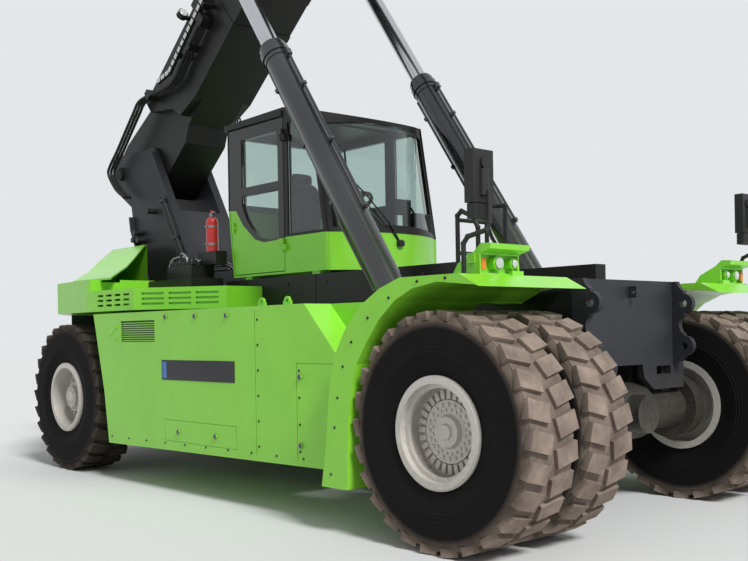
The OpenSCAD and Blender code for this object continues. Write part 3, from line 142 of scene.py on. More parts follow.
LIME, ENAMEL_BLACK = "#82D032", "#151618"
green = painted("lime_green_machine_enamel", LIME, 0.3, coat=0.25, dust_top=1.1, dust_most=0.12, gloss=0.4)
black = painted("satin_black_enamel", ENAMEL_BLACK, 0.36, dust_most=0.35, mottle=0.15, gloss=0.24)
barrel_black = painted("glossy_black_cylinder_enamel", "#1E2024", 0.2, coat=0.6, dust_most=0.3, mottle=0.1)
charcoal = painted("charcoal_plate_enamel", "#25272D", 0.45, dust_most=0.25, mottle=0.1, gloss=0.28)
red = painted("red_bottle_enamel", "#C01A1E", 0.3, coat=0.3)
casting = painted("painted_iron_casting", "#3C3E42", 0.55, dust_most=0.45, mottle=0.12, grain=0.4)
silver = painted("silver_wheel_paint", "#CFCBC6", 0.38, metallic=0.2, dust_top=1.9, dust_most=0.5, mottle=0.14)
zinc = painted("zinc_plated_tube", "#8E9094", 0.34, metallic=0.85, dust_most=0.3, mottle=0.12)
dark_steel = painted("blackened_bolt_steel", "#2A2B2D", 0.45, metallic=0.4, dust_most=0.3)
chrome = painted("ground_hard_chrome", "#C4C6C9", 0.14, metallic=1.0, dust_most=0.08, mottle=0.03)
plastic = painted("moulded_black_plastic", "#191A1C", 0.5, dust_most=0.3, grain=0.25, gloss=0.35)
white_plastic = painted("white_moulded_nylon", "#C9CBCB", 0.45, dust_most=0.3, mottle=0.1)
hose_rubber = painted("black_hose_rubber", "#141516", 0.62, dust_most=0.4, grain=0.2, gloss=0.3)
print("painted finishes:", len(bpy.data.materials))

# %% [markdown]
# The cab door is painted in two colours. The green comes up from the body in a curve and
# the black frame begins above it. A colour ramp along X holds the height of that line.

# %% The door's two colours
DOOR_LINE = [(-4.305, 2.824), (-4.16, 2.81), (-4.035, 2.648), (-3.822, 2.482), (-3.665, 2.439), (-3.30, 2.452)]
LINE_LOW, LINE_HIGH = 2.4, 2.9


def door_colours(tree, place):
    split = add(tree, "ShaderNodeSeparateXYZ", None, {"Vector": place})
    first, last = DOOR_LINE[0][0] + AXLE_X, DOOR_LINE[-1][0] + AXLE_X
    along = add(tree, "ShaderNodeMapRange", {"From Min": first, "From Max": last}, {"Value": split.outputs["X"]})
    ramp = add(tree, "ShaderNodeValToRGB", None, {"Fac": along.outputs[0]})
    for i, (x, z) in enumerate(DOOR_LINE):
        spot = (x - DOOR_LINE[0][0]) / (DOOR_LINE[-1][0] - DOOR_LINE[0][0])
        stops = ramp.color_ramp.elements
        stop = stops[0] if i == 0 else stops[-1] if i == len(DOOR_LINE) - 1 else stops.new(spot)
        stop.position = spot
        level = (z - LINE_LOW) / (LINE_HIGH - LINE_LOW)
        stop.color = (level, level, level, 1.0)
    line = add(tree, "ShaderNodeMapRange", {"To Min": LINE_LOW, "To Max": LINE_HIGH}, {"Value": ramp.outputs["Color"]})
    above = add(tree, "ShaderNodeMath", None, {0: split.outputs["Z"], 1: line.outputs[0]}, operation="GREATER_THAN")
    mix = add(tree, "ShaderNodeMix", {6: colour(LIME), 7: colour(ENAMEL_BLACK)}, {0: above.outputs[0]}, data_type="RGBA")
    return mix.outputs[2]


door_paint = painted("two_colour_door_enamel", door_colours, 0.3, coat=0.25, dust_most=0.2, gloss=0.4)
print("door line:", len(DOOR_LINE), "points")

# %% [markdown]
# Tyre rubber is matt, almost black, and brown with dust where it rolls. Its sidewall has
# moulded rings about the axle, which a shader can draw from the distance to the axle. Towards the tread the rubber
# takes a lighter colour. On the front wheels it is pale dust with painted sunlight, and on the rear ones it is darker
# dust with painted shade.

# %% Tyre rubber
def rubber(name, axle_x, dust_and_light_colour):
    material = bpy.data.materials.new(name)
    material.use_nodes = True
    tree = material.node_tree
    shader = tree.nodes["Principled BSDF"]
    place = add(tree, "ShaderNodeTexCoord").outputs["Object"]
    centred = add(tree, "ShaderNodeMapping", {"Location": (-axle_x, 0, -AXLE_Z)}, {"Vector": place})
    flat = add(tree, "ShaderNodeVectorMath", {1: (1, 0, 1)}, {0: centred.outputs[0]}, operation="MULTIPLY")
    radius = add(tree, "ShaderNodeVectorMath", None, {0: flat.outputs[0]}, operation="LENGTH").outputs["Value"]
    patches = add(tree, "ShaderNodeTexNoise", {"Scale": 5.0, "Detail": 6.0, "Roughness": 0.65}, {"Vector": place})
    grit = add(tree, "ShaderNodeTexNoise", {"Scale": 90.0, "Detail": 4.0}, {"Vector": place})
    # The tread colour grows towards the outer radius. It is dust with painted light: painted sunlight on the front
    # wheels and painted shade on the rear ones.
    tread_dust_and_light = add(tree, "ShaderNodeMapRange", {"From Min": 0.70, "From Max": 0.815, "To Min": 0.01, "To Max": 0.95},
        {"Value": radius})
    dust = add(tree, "ShaderNodeMath", None, {0: tread_dust_and_light.outputs[0], 1: patches.outputs["Fac"]}, operation="MULTIPLY")
    mix = add(tree, "ShaderNodeMix", {6: colour("#100F10"), 7: colour(dust_and_light_colour)}, {0: dust.outputs[0]}, data_type="RGBA")
    tree.links.new(mix.outputs[2], shader.inputs["Base Color"])
    shader.inputs["Roughness"].default_value = 0.78
    shader.inputs["Specular IOR Level"].default_value = 0.12
    # Moulded rings, 28 mm apart, on the sidewall only
    turns = add(tree, "ShaderNodeMath", {1: 2 * math.pi / 0.028}, {0: radius}, operation="MULTIPLY")
    wave = add(tree, "ShaderNodeMath", None, {0: turns.outputs[0]}, operation="SINE")
    inner = add(tree, "ShaderNodeMapRange", {"From Min": 0.60, "From Max": 0.62, "To Min": 1.0, "To Max": 0.0}, {"Value": radius})
    outer = add(tree, "ShaderNodeMapRange", {"From Min": 0.50, "From Max": 0.51}, {"Value": radius})
    ring = add(tree, "ShaderNodeMath", None, {0: inner.outputs[0], 1: outer.outputs[0]}, operation="MULTIPLY")
    ribs = add(tree, "ShaderNodeMath", None, {0: wave.outputs[0], 1: ring.outputs[0]}, operation="MULTIPLY")
    relief = add(tree, "ShaderNodeMath", None, {0: ribs.outputs[0], 1: grit.outputs["Fac"]}, operation="ADD")
    bump = add(tree, "ShaderNodeBump", {"Strength": 0.5, "Distance": 0.003}, {"Height": relief.outputs[0]})
    tree.links.new(bump.outputs[0], shader.inputs["Normal"])
    return material


# Front tread colour: pale dust with painted sunlight. Rear tread colour: darker dust with painted shade.
front_rubber_dust_and_painted_sunlight = rubber("front_tyre_rubber_dust_and_painted_sunlight", AXLE_X, "#B3A092")
rear_rubber_dust_and_painted_shade = rubber("rear_tyre_rubber_dust_and_painted_shade", AXLE_X - WHEELBASE, "#5E544D")

# %% [markdown]
# Safety glass is clear with a faint green tint. The panes are closed solids, so the light
# bends in and out of them as in real glass. Lamp lenses are the same with no tint.

# %% Glass, lenses and mirror
def clear(name, tint, roughness=0.0, transmission=1.0, ior=1.5, metallic=0.0):
    material = bpy.data.materials.new(name)
    material.use_nodes = True
    shader = material.node_tree.nodes["Principled BSDF"]
    shader.inputs["Base Color"].default_value = colour(tint)
    shader.inputs["Roughness"].default_value = roughness
    shader.inputs["Transmission Weight"].default_value = transmission
    shader.inputs["IOR"].default_value = ior
    shader.inputs["Metallic"].default_value = metallic
    return material


glass = clear("tinted_safety_glass", "#D3E2DC")
lens = clear("lamp_lens_polycarbonate", "#F4F6F5", 0.08, 0.6, 1.58)
amber = clear("amber_lens_acrylic", "#F08A1C", 0.15, 0.25, 1.49)
red_lens = clear("red_lens_acrylic", "#C8251C", 0.15, 0.25, 1.49)
mirror_glass = clear("silvered_mirror_glass", "#E4E6E8", 0.02, 0.0, 1.5, 1.0)

# %% [markdown]
# Seat cloth is a woven black polyester. Its threads are about 1 mm apart, too fine to show
# from here, so the weave is drawn at 4 mm.

# %% Seat cloth
seat_cloth = bpy.data.materials.new("woven_seat_cloth")
seat_cloth.use_nodes = True
cloth_tree = seat_cloth.node_tree
cloth_shader = cloth_tree.nodes["Principled BSDF"]
cloth_place = add(cloth_tree, "ShaderNodeTexCoord").outputs["Object"]
weave = add(cloth_tree, "ShaderNodeTexChecker", {"Scale": 250.0, "Color1": colour("#26272A"), "Color2": colour("#1A1B1D")},
    {"Vector": cloth_place})
cloth_tree.links.new(weave.outputs["Color"], cloth_shader.inputs["Base Color"])
cloth_bump = add(cloth_tree, "ShaderNodeBump", {"Strength": 0.4, "Distance": 0.001}, {"Height": weave.outputs["Fac"]})
cloth_tree.links.new(cloth_bump.outputs[0], cloth_shader.inputs["Normal"])
cloth_shader.inputs["Roughness"].default_value = 0.9
cloth_shader.inputs["Sheen Weight"].default_value = 0.3

# %% [markdown]
# Each solid now gets the finish of the real part. One table says which, so that a reader
# sees the whole paint scheme at once.

# %% The paint scheme
SCHEME = {
    green: ["cabinet_right", "cabinet_left", "fender_right", "fender_left", "tail_hood", "cab_body", "spreader_frame",
        "spreader_beam_right", "spreader_beam_left"],
    black: ["chassis_frame", "cab_rails", "front_axle", "rear_axle", "knuckle_right", "knuckle_left", "cab_frame",
        "outer_boom", "inner_boom", "yoke", "rotator", "valve_block", "handrails"],
    barrel_black: ["lift_barrel_right", "lift_barrel_left"],
    charcoal: ["front_plate", "boom_tower", "battery_block"],
    casting: ["counterweight"],
    silver: ["front_rims_right", "front_rims_left", "rear_rim_right", "rear_rim_left"],
    front_rubber_dust_and_painted_sunlight: ["front_tyres_right", "front_tyres_left"],
    rear_rubber_dust_and_painted_shade: ["rear_tyre_right", "rear_tyre_left"],
    chrome: ["lift_rod_right", "lift_rod_left"],
    dark_steel: ["tower_pipes"],
    glass: ["cab_glass", "door_glass"],
    door_paint: ["cab_door"],
    red: ["red_bottle"],
    plastic: ["side_mirror", "console"],
    seat_cloth: ["seat"],
}
for finish_material, names in SCHEME.items():
    for name in names:
        for holder in nodes[name].material_slots:
            holder.material = finish_material
painted_nodes = sum(SCHEME.values(), [])
print("painted:", len(painted_nodes), "left over:", sorted(set(nodes) - set(painted_nodes)))

# %% [markdown]
# The small parts are drawn with a few shapes: a block with softened edges, a round bar, a
# dome and a tube that follows points. Each writes into one mesh, so that all the like
# parts on one body are one piece.

# %% Shapes for the small parts
def block(bm, low, high, soften=0.0):
    made = bmesh.ops.create_cube(bm, size=1.0)["verts"]
    size = Vector(high) - Vector(low)
    for v in made:
        v.co = Vector(low) + Vector((size[i] * (v.co[i] + 0.5) for i in range(3)))
    if soften:
        edges = list({e for v in made for e in v.link_edges})
        bmesh.ops.bevel(bm, geom=edges, offset=soften, segments=2, affect="EDGES", profile=0.5)


def turned(direction):
    return Vector(direction).to_track_quat("Z", "Y").to_matrix().to_4x4()


def bar(bm, start, direction, radius, length, sides=24, end_radius=None):
    middle = Vector(start) + Vector(direction).normalized() * length / 2
    bmesh.ops.create_cone(bm, cap_ends=True, segments=sides, radius1=radius,
        radius2=radius if end_radius is None else end_radius, depth=length,
        matrix=Matrix.Translation(middle) @ turned(direction))


def dome(bm, centre, direction, radius, rise, sides=24, rings=5):
    matrix = Matrix.Translation(Vector(centre)) @ turned(direction)
    loops = []
    for i in range(rings):
        angle = math.pi / 2 * i / rings
        loops.append([bm.verts.new(matrix @ Vector((radius * math.cos(angle) * math.cos(2 * math.pi * k / sides),
            radius * math.cos(angle) * math.sin(2 * math.pi * k / sides), rise * math.sin(angle)))) for k in range(sides)])
    top = bm.verts.new(matrix @ Vector((0, 0, rise)))
    for i in range(rings - 1):
        for k in range(sides):
            bm.faces.new([loops[i][k], loops[i][(k + 1) % sides], loops[i + 1][(k + 1) % sides], loops[i + 1][k]])
    for k in range(sides):
        bm.faces.new([loops[-1][k], loops[-1][(k + 1) % sides], top])
    bm.faces.new(list(reversed(loops[0])))


def tube(bm, points, radius, sides=12):
    points = [Vector(p) for p in points]
    rows = []
    up = Vector((0.13, 0.31, 0.94)).normalized()
    for i, point in enumerate(points):
        ahead = points[min(i + 1, len(points) - 1)] - points[max(i - 1, 0)]
        across = ahead.cross(up).normalized()
        other = ahead.cross(across).normalized()
        rows.append([bm.verts.new(point + radius * (across * math.cos(2 * math.pi * k / sides)
            + other * math.sin(2 * math.pi * k / sides))) for k in range(sides)])
    for a, b in zip(rows, rows[1:]):
        for k in range(sides):
            bm.faces.new([a[k], a[(k + 1) % sides], b[(k + 1) % sides], b[k]])
    bm.faces.new(list(reversed(rows[0])))
    bm.faces.new(rows[-1])


def curved(points, steps=6):
    points = [Vector(p) for p in points]
    padded = [2 * points[0] - points[1], *points, 2 * points[-1] - points[-2]]
    result = []
    for i in range(1, len(padded) - 2):
        a, b, c, d = padded[i - 1 : i + 3]
        for k in range(steps):
            t = k / steps
            result.append(0.5 * ((2 * b) + (c - a) * t + (2 * a - 5 * b + 4 * c - d) * t * t
                + (3 * b - a - 3 * c + d) * t ** 3))
    return result + [points[-1]]


def piece(name, bm, material, body):
    bmesh.ops.recalc_face_normals(bm, faces=bm.faces)
    mesh = bpy.data.meshes.new(name)
    bm.to_mesh(mesh)
    bm.free()
    mesh.materials.append(material)
    made = bpy.data.objects.new(name, mesh)
    bpy.context.scene.collection.objects.link(made)
    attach(made, body)
    print(f"{name}: {len(mesh.polygons)} faces on {body}")
    return made


# %% [markdown]
# Bolts repeat by the hundred, so a Geometry Nodes tree makes them: it puts one hexagon head
# on a washer at every point of a mesh and turns it to the direction that the point keeps.

# %% A tree that puts a bolt at every point
def bolt_tree(material):
    tree = bpy.data.node_groups.new("bolts_on_points_" + material.name, "GeometryNodeTree")
    tree.interface.new_socket("Geometry", in_out="INPUT", socket_type="NodeSocketGeometry")
    for label, size in (("Head radius", 0.014), ("Head height", 0.010), ("Washer radius", 0.019)):
        tree.interface.new_socket(label, in_out="INPUT", socket_type="NodeSocketFloat").default_value = size
    tree.interface.new_socket("Geometry", in_out="OUTPUT", socket_type="NodeSocketGeometry")
    given = add(tree, "NodeGroupInput")
    facing = add(tree, "GeometryNodeInputNamedAttribute", {"Name": "facing"}, data_type="FLOAT_VECTOR")
    turn = add(tree, "FunctionNodeAlignRotationToVector", None, {"Vector": facing.outputs[0]}, axis="Z")
    head = add(tree, "GeometryNodeMeshCylinder", {"Vertices": 6},
        {"Radius": given.outputs["Head radius"], "Depth": given.outputs["Head height"]})
    half = add(tree, "ShaderNodeMath", {1: 0.5}, {0: given.outputs["Head height"]}, operation="MULTIPLY")
    lift = add(tree, "ShaderNodeCombineXYZ", None, {"Z": half.outputs[0]})
    raised = add(tree, "GeometryNodeTransform", None, {"Geometry": head.outputs[0], "Translation": lift.outputs[0]})
    washer = add(tree, "GeometryNodeMeshCylinder", {"Vertices": 12, "Depth": 0.004}, {"Radius": given.outputs["Washer radius"]})
    both = add(tree, "GeometryNodeJoinGeometry")
    tree.links.new(raised.outputs[0], both.inputs[0])
    tree.links.new(washer.outputs[0], both.inputs[0])
    spread = add(tree, "GeometryNodeInstanceOnPoints", None,
        {"Points": given.outputs["Geometry"], "Instance": both.outputs[0], "Rotation": turn.outputs[0]})
    real = add(tree, "GeometryNodeRealizeInstances", None, {"Geometry": spread.outputs[0]})
    dressed = add(tree, "GeometryNodeSetMaterial", {"Material": material}, {"Geometry": real.outputs[0]})
    add(tree, "NodeGroupOutput", None, {"Geometry": dressed.outputs[0]})
    return tree


def bolts(name, places, material, body, head=0.014):
    mesh = bpy.data.meshes.new(name + "_points")
    mesh.from_pydata([p for p, _ in places], [], [])
    facing = mesh.attributes.new("facing", "FLOAT_VECTOR", "POINT")
    for i, (_, direction) in enumerate(places):
        facing.data[i].vector = direction
    source = bpy.data.objects.new(name + "_source", mesh)
    bpy.context.scene.collection.objects.link(source)
    tree = bolt_tree(material)
    modifier = source.modifiers.new("bolts", "NODES")
    modifier.node_group = tree
    sizes = {"Head radius": head, "Head height": head * 0.75, "Washer radius": head * 1.35}
    for socket in tree.interface.items_tree:
        if socket.in_out == "INPUT" and socket.name in sizes:
            modifier[socket.identifier] = sizes[socket.name]
    ready = source.evaluated_get(bpy.context.evaluated_depsgraph_get())
    result = bpy.data.meshes.new_from_object(ready)
    bpy.data.objects.remove(source)
    result.name = name
    made = bpy.data.objects.new(name, result)
    bpy.context.scene.collection.objects.link(made)
    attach(made, body)
    print(f"{name}: {len(places)} bolts, {len(result.polygons)} faces on {body}")
    return made


# %% [markdown]
# Each wheel's hub is closed by a cap with a ring of nuts. The rear hub's cap is lighter, and
# its studs stand on the dish.

# %% Hub nuts and caps
def ring_places(centre, side, radius, count, phase=0.0):
    return [(centre + Vector((radius * math.cos(phase + 2 * math.pi * k / count), 0,
        radius * math.sin(phase + 2 * math.pi * k / count))), Vector((0, side, 0))) for k in range(count)]


HUB_FACE = 1.925
REAR_CAP_FACE = 1.795
for side, word in ((-1, "right"), (1, "left")):
    front = at(0, side * (HUB_FACE + 0.001), AXLE_Z)
    bolts(f"front_hub_nuts_{word}", ring_places(front, side, 0.182, 20), silver, f"wheels_front_{word}", 0.013)
    bm = bmesh.new()
    bar(bm, front, (0, side, 0), 0.118, 0.030, 48, 0.104)
    bar(bm, front + Vector((0, side * 0.030, 0)), (0, side, 0), 0.058, 0.016, 32, 0.050)
    for k in range(20):
        a = 2 * math.pi * (k + 0.5) / 20
        bar(bm, front + Vector((0.150 * math.cos(a), 0, 0.150 * math.sin(a))), (0, side, 0), 0.010, 0.008, 12)
    piece(f"front_hub_cap_{word}", bm, silver, f"wheels_front_{word}")
    rear = at(-WHEELBASE, side * (REAR_CAP_FACE + 0.001), AXLE_Z)
    bolts(f"rear_hub_nuts_{word}", ring_places(rear, side, 0.098, 10), silver, f"wheel_rear_{word}", 0.011)
    step = at(-WHEELBASE, side * 1.7515, AXLE_Z)
    bolts(f"rear_hub_studs_{word}", ring_places(step, side, 0.142, 12, 0.2), silver, f"wheel_rear_{word}", 0.012)
    bm = bmesh.new()
    dome(bm, rear, (0, side, 0), 0.072, 0.022, 32)
    piece(f"rear_hub_cap_{word}", bm, silver, f"wheel_rear_{word}")

# %% [markdown]
# The panels are held by screws along their seams, and the cab's rails by larger bolts.

# %% Bolts of the body
def row(start, end, count, direction):
    start, end = Vector(start), Vector(end)
    return [(start + (end - start) * k / (count - 1), Vector(direction)) for k in range(count)]


PANEL_Y = 1.9015
panel_screws, rail_bolts = [], []
for side in (-1, 1):
    out = (0, side, 0)
    y = side * PANEL_Y
    panel_screws += row(at(-4.82, y, 0.46), at(-1.26, y, 0.50), 11, out)
    panel_screws += row(at(-2.215, y, 0.55), at(-2.215, y, 1.62), 6, out)
    panel_screws += row(at(-1.655, y, 0.55), at(-1.655, y, 1.20), 4, out)
    panel_screws += row(at(-1.235, y, 0.55), at(-1.235, y, 1.20), 4, out)
    edge = side * 2.0865
    for x, z in ((-1.055, 0.45), (-1.005, 0.80), (-0.965, 1.02), (-0.90, 1.25), (-0.80, 1.43), (-0.62, 1.60), (-0.40, 1.735),
            (-0.12, 1.835), (0.14, 1.845)):
        panel_screws.append((at(x, edge, z), Vector(out)))
    for x in (-3.9, -3.3, -2.7, -2.1, -1.4, -0.8):
        rail_bolts.append((at(x, side * 0.7415, 1.99), Vector(out)))
bolts("panel_screws", panel_screws, dark_steel, "chassis", 0.008)
bolts("rail_bolts", rail_bolts, dark_steel, "chassis", 0.014)

# %% [markdown]
# The large panels carry flush latches: a dark pressed cup with a small lever. A blank plate
# stands in the place of the type plate.

# %% Latches, the blank plate and the vent's screen
LATCH_PLACES = [(-3.705, 1.676), (-3.185, 1.671), (-2.674, 1.665), (-3.5, 0.59), (-2.873, 0.59), (-1.64, 1.15), (-1.64, 0.60)]
latch_bm, lever_bm, plate_bm, stripe_bm, screen_bm = (bmesh.new() for _ in range(5))
for side in (-1, 1):
    for x, z in LATCH_PLACES:
        near = side * 1.9125
        bar(latch_bm, at(x, near, z), (0, side, 0), 0.024, 0.003, 24)
        block(lever_bm, at(x - 0.006, near + (-0.008 if side < 0 else 0), z - 0.016),
            at(x + 0.006, near + (0 if side < 0 else 0.008), z + 0.016), 0.002)
    low_y, high_y = sorted((side * 1.9003, side * 1.904))
    block(plate_bm, at(-3.79, low_y, 1.075), at(-2.56, high_y, 1.265), 0.0012)
    low_y, high_y = sorted((side * 1.9042, side * 1.9052))
    block(stripe_bm, at(-3.775, low_y, 1.092), at(-3.70, high_y, 1.248))
    low_y, high_y = sorted((side * 1.876, side * 1.879))
    block(screen_bm, at(-4.598, low_y, 1.442), at(-3.922, high_y, 1.648))
piece("latch_cups", latch_bm, zinc, "chassis")
piece("latch_levers", lever_bm, dark_steel, "chassis")
piece("blank_name_plate", plate_bm, charcoal, "chassis")
blue = painted("blue_plate_enamel", "#2E6FB4", 0.35)
piece("plate_stripe", stripe_bm, blue, "chassis")
piece("vent_screen", screen_bm, plastic, "chassis")

# %% [markdown]
# A work lamp is a clear domed lens over a bright bowl. Red reflectors and amber lamps mark
# the corners. They sit on the bezels that the solids already have.

# %% Lamps
lens_bm, bowl_bm, amber_bm, red_bm = (bmesh.new() for _ in range(4))
for side in (-1, 1):
    for y, z, r in ((1.640, 1.950, 0.050), (1.480, 1.952, 0.038)):
        bar(bowl_bm, at(0.2255, side * y, z), (1, 0, 0), r - 0.009, 0.003, 32)
        dome(lens_bm, at(0.229, side * y, z), (1, 0, 0), r - 0.010, 0.012, 32)
    block(amber_bm, at(0.2002, side * 1.775 - 0.022, 1.905), at(0.208, side * 1.775 + 0.022, 1.985), 0.003)
    tail_out = Vector((-0.798, side * 0.603, 0))
    for z, bm in ((1.88, red_bm), (1.96, amber_bm)):
        dome(bm, at(-7.5, side * 0.92, z) + tail_out * 0.061, tail_out, 0.036, 0.012, 32)
piece("lamp_bowls", bowl_bm, zinc, "chassis")
piece("lamp_lenses", lens_bm, lens, "chassis")
piece("amber_lamps", amber_bm, amber, "chassis")
piece("red_lamps", red_bm, red_lens, "chassis")
boom_lens_bm = bmesh.new()
boom_lamp = on_boom(2.48, -0.55, 0.06)
boom_lamp_out = (on_boom(2.48 + 0.985, -0.55, 0.06 - 0.174) - boom_lamp).normalized()
dome(boom_lens_bm, boom_lamp + boom_lamp_out * 0.071, boom_lamp_out, 0.052, 0.014, 32)
piece("boom_lamp_lens", boom_lens_bm, lens, "boom")

# %% [markdown]
# The camera stands where the photographer stood. Its place and turn come from lines of the
# machine whose real places are known. It is made now, because the wiper is placed by the
# lines of sight through it.

# %% The camera
IMAGE_W, IMAGE_H = 748, 561
FOCAL, CENTRE_U, CENTRE_V = 975.66, 374.0, 330.74
EYE = at(4.517, -6.713, 1.509)
YAW, ROLL = math.radians(42.38), math.radians(-1.0)
ahead = Vector((-math.cos(YAW), math.sin(YAW), 0))
right_flat = ahead.cross(Vector((0, 0, 1)))
up_flat = right_flat.cross(ahead)
right = math.cos(ROLL) * right_flat + math.sin(ROLL) * up_flat
upward = -math.sin(ROLL) * right_flat + math.cos(ROLL) * up_flat
camera_data = bpy.data.cameras.new("photographer")
camera_data.sensor_width = 36
camera_data.lens = 36 * FOCAL / IMAGE_W
camera_data.shift_x = -(CENTRE_U - IMAGE_W / 2) / IMAGE_W
camera_data.shift_y = (CENTRE_V - IMAGE_H / 2) / IMAGE_W
camera_data.clip_end = 200
camera = bpy.data.objects.new("photographer", camera_data)
bpy.context.scene.collection.objects.link(camera)
camera.matrix_world = Matrix(((right.x, upward.x, -ahead.x, EYE.x), (right.y, upward.y, -ahead.y, EYE.y),
    (right.z, upward.z, -ahead.z, EYE.z), (0, 0, 0, 1)))
bpy.context.scene.camera = camera
print("camera at", [round(v, 3) for v in EYE], "lens", round(camera_data.lens, 2))


def sight(u, v):
    return (ahead + right * (u - CENTRE_U) / FOCAL - upward * (v - CENTRE_V) / FOCAL).normalized()


# %% [markdown]
# The wiper has two thin parallel arms on a spindle below the screen, and a rubber blade
# that lies along the bowed glass. Its points are found where lines of sight meet the
# screen and the cab's front panel. Inside, a pale ledge follows the foot of the screen.

# %% The screen wiper
def seen_on(node, u, v, proud):
    hit, place, normal, _ = nodes[node].ray_cast(EYE, sight(u, v))
    return [place + normal * proud] if hit else []


def sightings(node, pixels, proud):
    return [p for u, v in pixels for p in seen_on(node, u, v, proud)]


spindle = sightings("cab_body", [(399, 243)], 0)[0]
wiper_arm = sightings("cab_glass", [(395, 233), (388, 225), (376, 210), (364, 195), (352, 182)], 0.035)
second_arm = sightings("cab_glass", [(391, 234), (384, 227), (374, 215), (363, 202)], 0.035)
wiper_blade = sightings("cab_glass", [(344, 150), (345, 160), (346, 172), (348, 188), (350, 204)], 0.012)
print("wiper points:", len(wiper_arm), len(second_arm), len(wiper_blade))
bm = bmesh.new()
if len(wiper_arm) > 1 and len(second_arm) > 1:
    tube(bm, curved([spindle + Vector((0.02, 0, 0)), *wiper_arm]), 0.008)
    tube(bm, curved([spindle + Vector((0.02, 0.03, -0.02)), *second_arm]), 0.006)
if len(wiper_blade) > 1:
    tube(bm, curved(wiper_blade), 0.010)
bar(bm, spindle - Vector((0.001, 0, 0)), (1, 0, 0), 0.030, 0.045)
block(bm, spindle + Vector((0.003, -0.035, -0.03)), spindle + Vector((0.035, 0.05, 0.02)), 0.006)
piece("screen_wiper", bm, plastic, "chassis")

LEDGE_LOW, LEDGE_HIGH = 2.375, 2.50
bm = bmesh.new()
ledge_rows = []
for k in range(25):
    y = -0.66 + 1.32 * k / 24
    faces = []
    for z in (LEDGE_LOW, LEDGE_HIGH):
        hit, place, _, _ = nodes["cab_glass"].ray_cast(at(2, y, LEDGE_HIGH + 0.05), Vector((-1, 0, 0)))
        faces.append(Vector((place.x - 0.060, y, z)))
    ledge_rows.append([bm.verts.new(p) for p in (faces[0], faces[1], faces[1] - Vector((0.02, 0, 0)), faces[0] - Vector((0.02, 0, 0)))])
for first, second in zip(ledge_rows, ledge_rows[1:]):
    for k in range(4):
        bm.faces.new([first[k], first[(k + 1) % 4], second[(k + 1) % 4], second[k]])
bm.faces.new(list(reversed(ledge_rows[0])))
bm.faces.new(ledge_rows[-1])
piece("screen_ledge", bm, white_plastic, "chassis")

# %% [markdown]
# The driver's seat has a squab, a back and a head rest, each a foam pad under cloth. A pad
# is a crowned closed form that pulls in at its corners, with sewn channels across it.

# %% Pads of the seat
def pad(name, middle, size, channel_axis, channels, pinch=0.42):
    bm = bmesh.new()
    rows, columns = 40, 64
    grid = []

    def power(value, exponent):
        return math.copysign(abs(value) ** exponent, value)

    for i in range(1, rows):
        lat = -math.pi / 2 + math.pi * i / rows
        line = []
        for k in range(columns):
            lon = 2 * math.pi * k / columns
            p = Vector((power(math.cos(lat), pinch) * power(math.cos(lon), pinch) * size[0] / 2,
                power(math.cos(lat), pinch) * power(math.sin(lon), pinch) * size[1] / 2,
                power(math.sin(lat), 0.7) * size[2] / 2))
            position = p[channel_axis] / size[channel_axis]
            groove = max(0.0, math.cos(position * channels * 2 * math.pi)) ** 12
            thin = min(range(3), key=lambda axis: size[axis])
            p[thin] *= 1 - 0.16 * groove
            line.append(bm.verts.new(Vector(middle) + p))
        grid.append(line)
    low = bm.verts.new(Vector(middle) - Vector((0, 0, size[2] / 2)))
    top = bm.verts.new(Vector(middle) + Vector((0, 0, size[2] / 2)))
    for a, b in zip(grid, grid[1:]):
        for k in range(columns):
            bm.faces.new([a[k], a[(k + 1) % columns], b[(k + 1) % columns], b[k]])
    for k in range(columns):
        bm.faces.new([grid[0][(k + 1) % columns], grid[0][k], low])
        bm.faces.new([grid[-1][k], grid[-1][(k + 1) % columns], top])
    made = piece(name, bm, seat_cloth, "chassis")
    for polygon in made.data.polygons:
        polygon.use_smooth = True
    return made


SEAT_X, FLOOR_Z = -3.70, 2.15
squab = pad("seat_squab", at(SEAT_X, 0, 2.49), (0.54, 0.54, 0.13), 1, 3)
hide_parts("seat")
pad("seat_back", at(SEAT_X - 0.29, 0, 2.84), (0.13, 0.50, 0.62), 2, 4)
pad("seat_head_rest", at(SEAT_X - 0.30, 0, 3.19), (0.10, 0.28, 0.13), 2, 1)
bm = bmesh.new()
block(bm, at(SEAT_X - 0.20, -0.24, FLOOR_Z + 0.0005), at(SEAT_X + 0.20, 0.24, FLOOR_Z + 0.05), 0.006)
for k in range(4):
    grow = 0.02 * (k % 2)
    block(bm, at(SEAT_X - 0.17 - grow, -0.20 - grow, FLOOR_Z + 0.045 + 0.055 * k),
        at(SEAT_X + 0.17 + grow, 0.20 + grow, FLOOR_Z + 0.105 + 0.055 * k), 0.012)
for side in (-1, 1):
    low_y, high_y = sorted((side * 0.275, side * 0.335))
    block(bm, at(SEAT_X - 0.20, low_y, 2.62), at(SEAT_X + 0.14, high_y, 2.67), 0.012)
    block(bm, at(SEAT_X - 0.26, low_y, 2.44), at(SEAT_X - 0.20, high_y, 2.67), 0.008)
for y in (-0.06, 0.06):
    bar(bm, at(SEAT_X - 0.30, y, 3.10), (0, 0, 1), 0.007, 0.08, 12)
bar(bm, at(SEAT_X + 0.10, -0.305, 2.665), (0, 0, 1), 0.012, 0.10, 16)
dome(bm, at(SEAT_X + 0.10, -0.305, 2.765), (0, 0, 1), 0.024, 0.03)
piece("seat_base_and_arms", bm, plastic, "chassis")

# %% [markdown]
# Inside the cab a floor mat, a screen on its post and the control boxes fill what the
# glass shows.

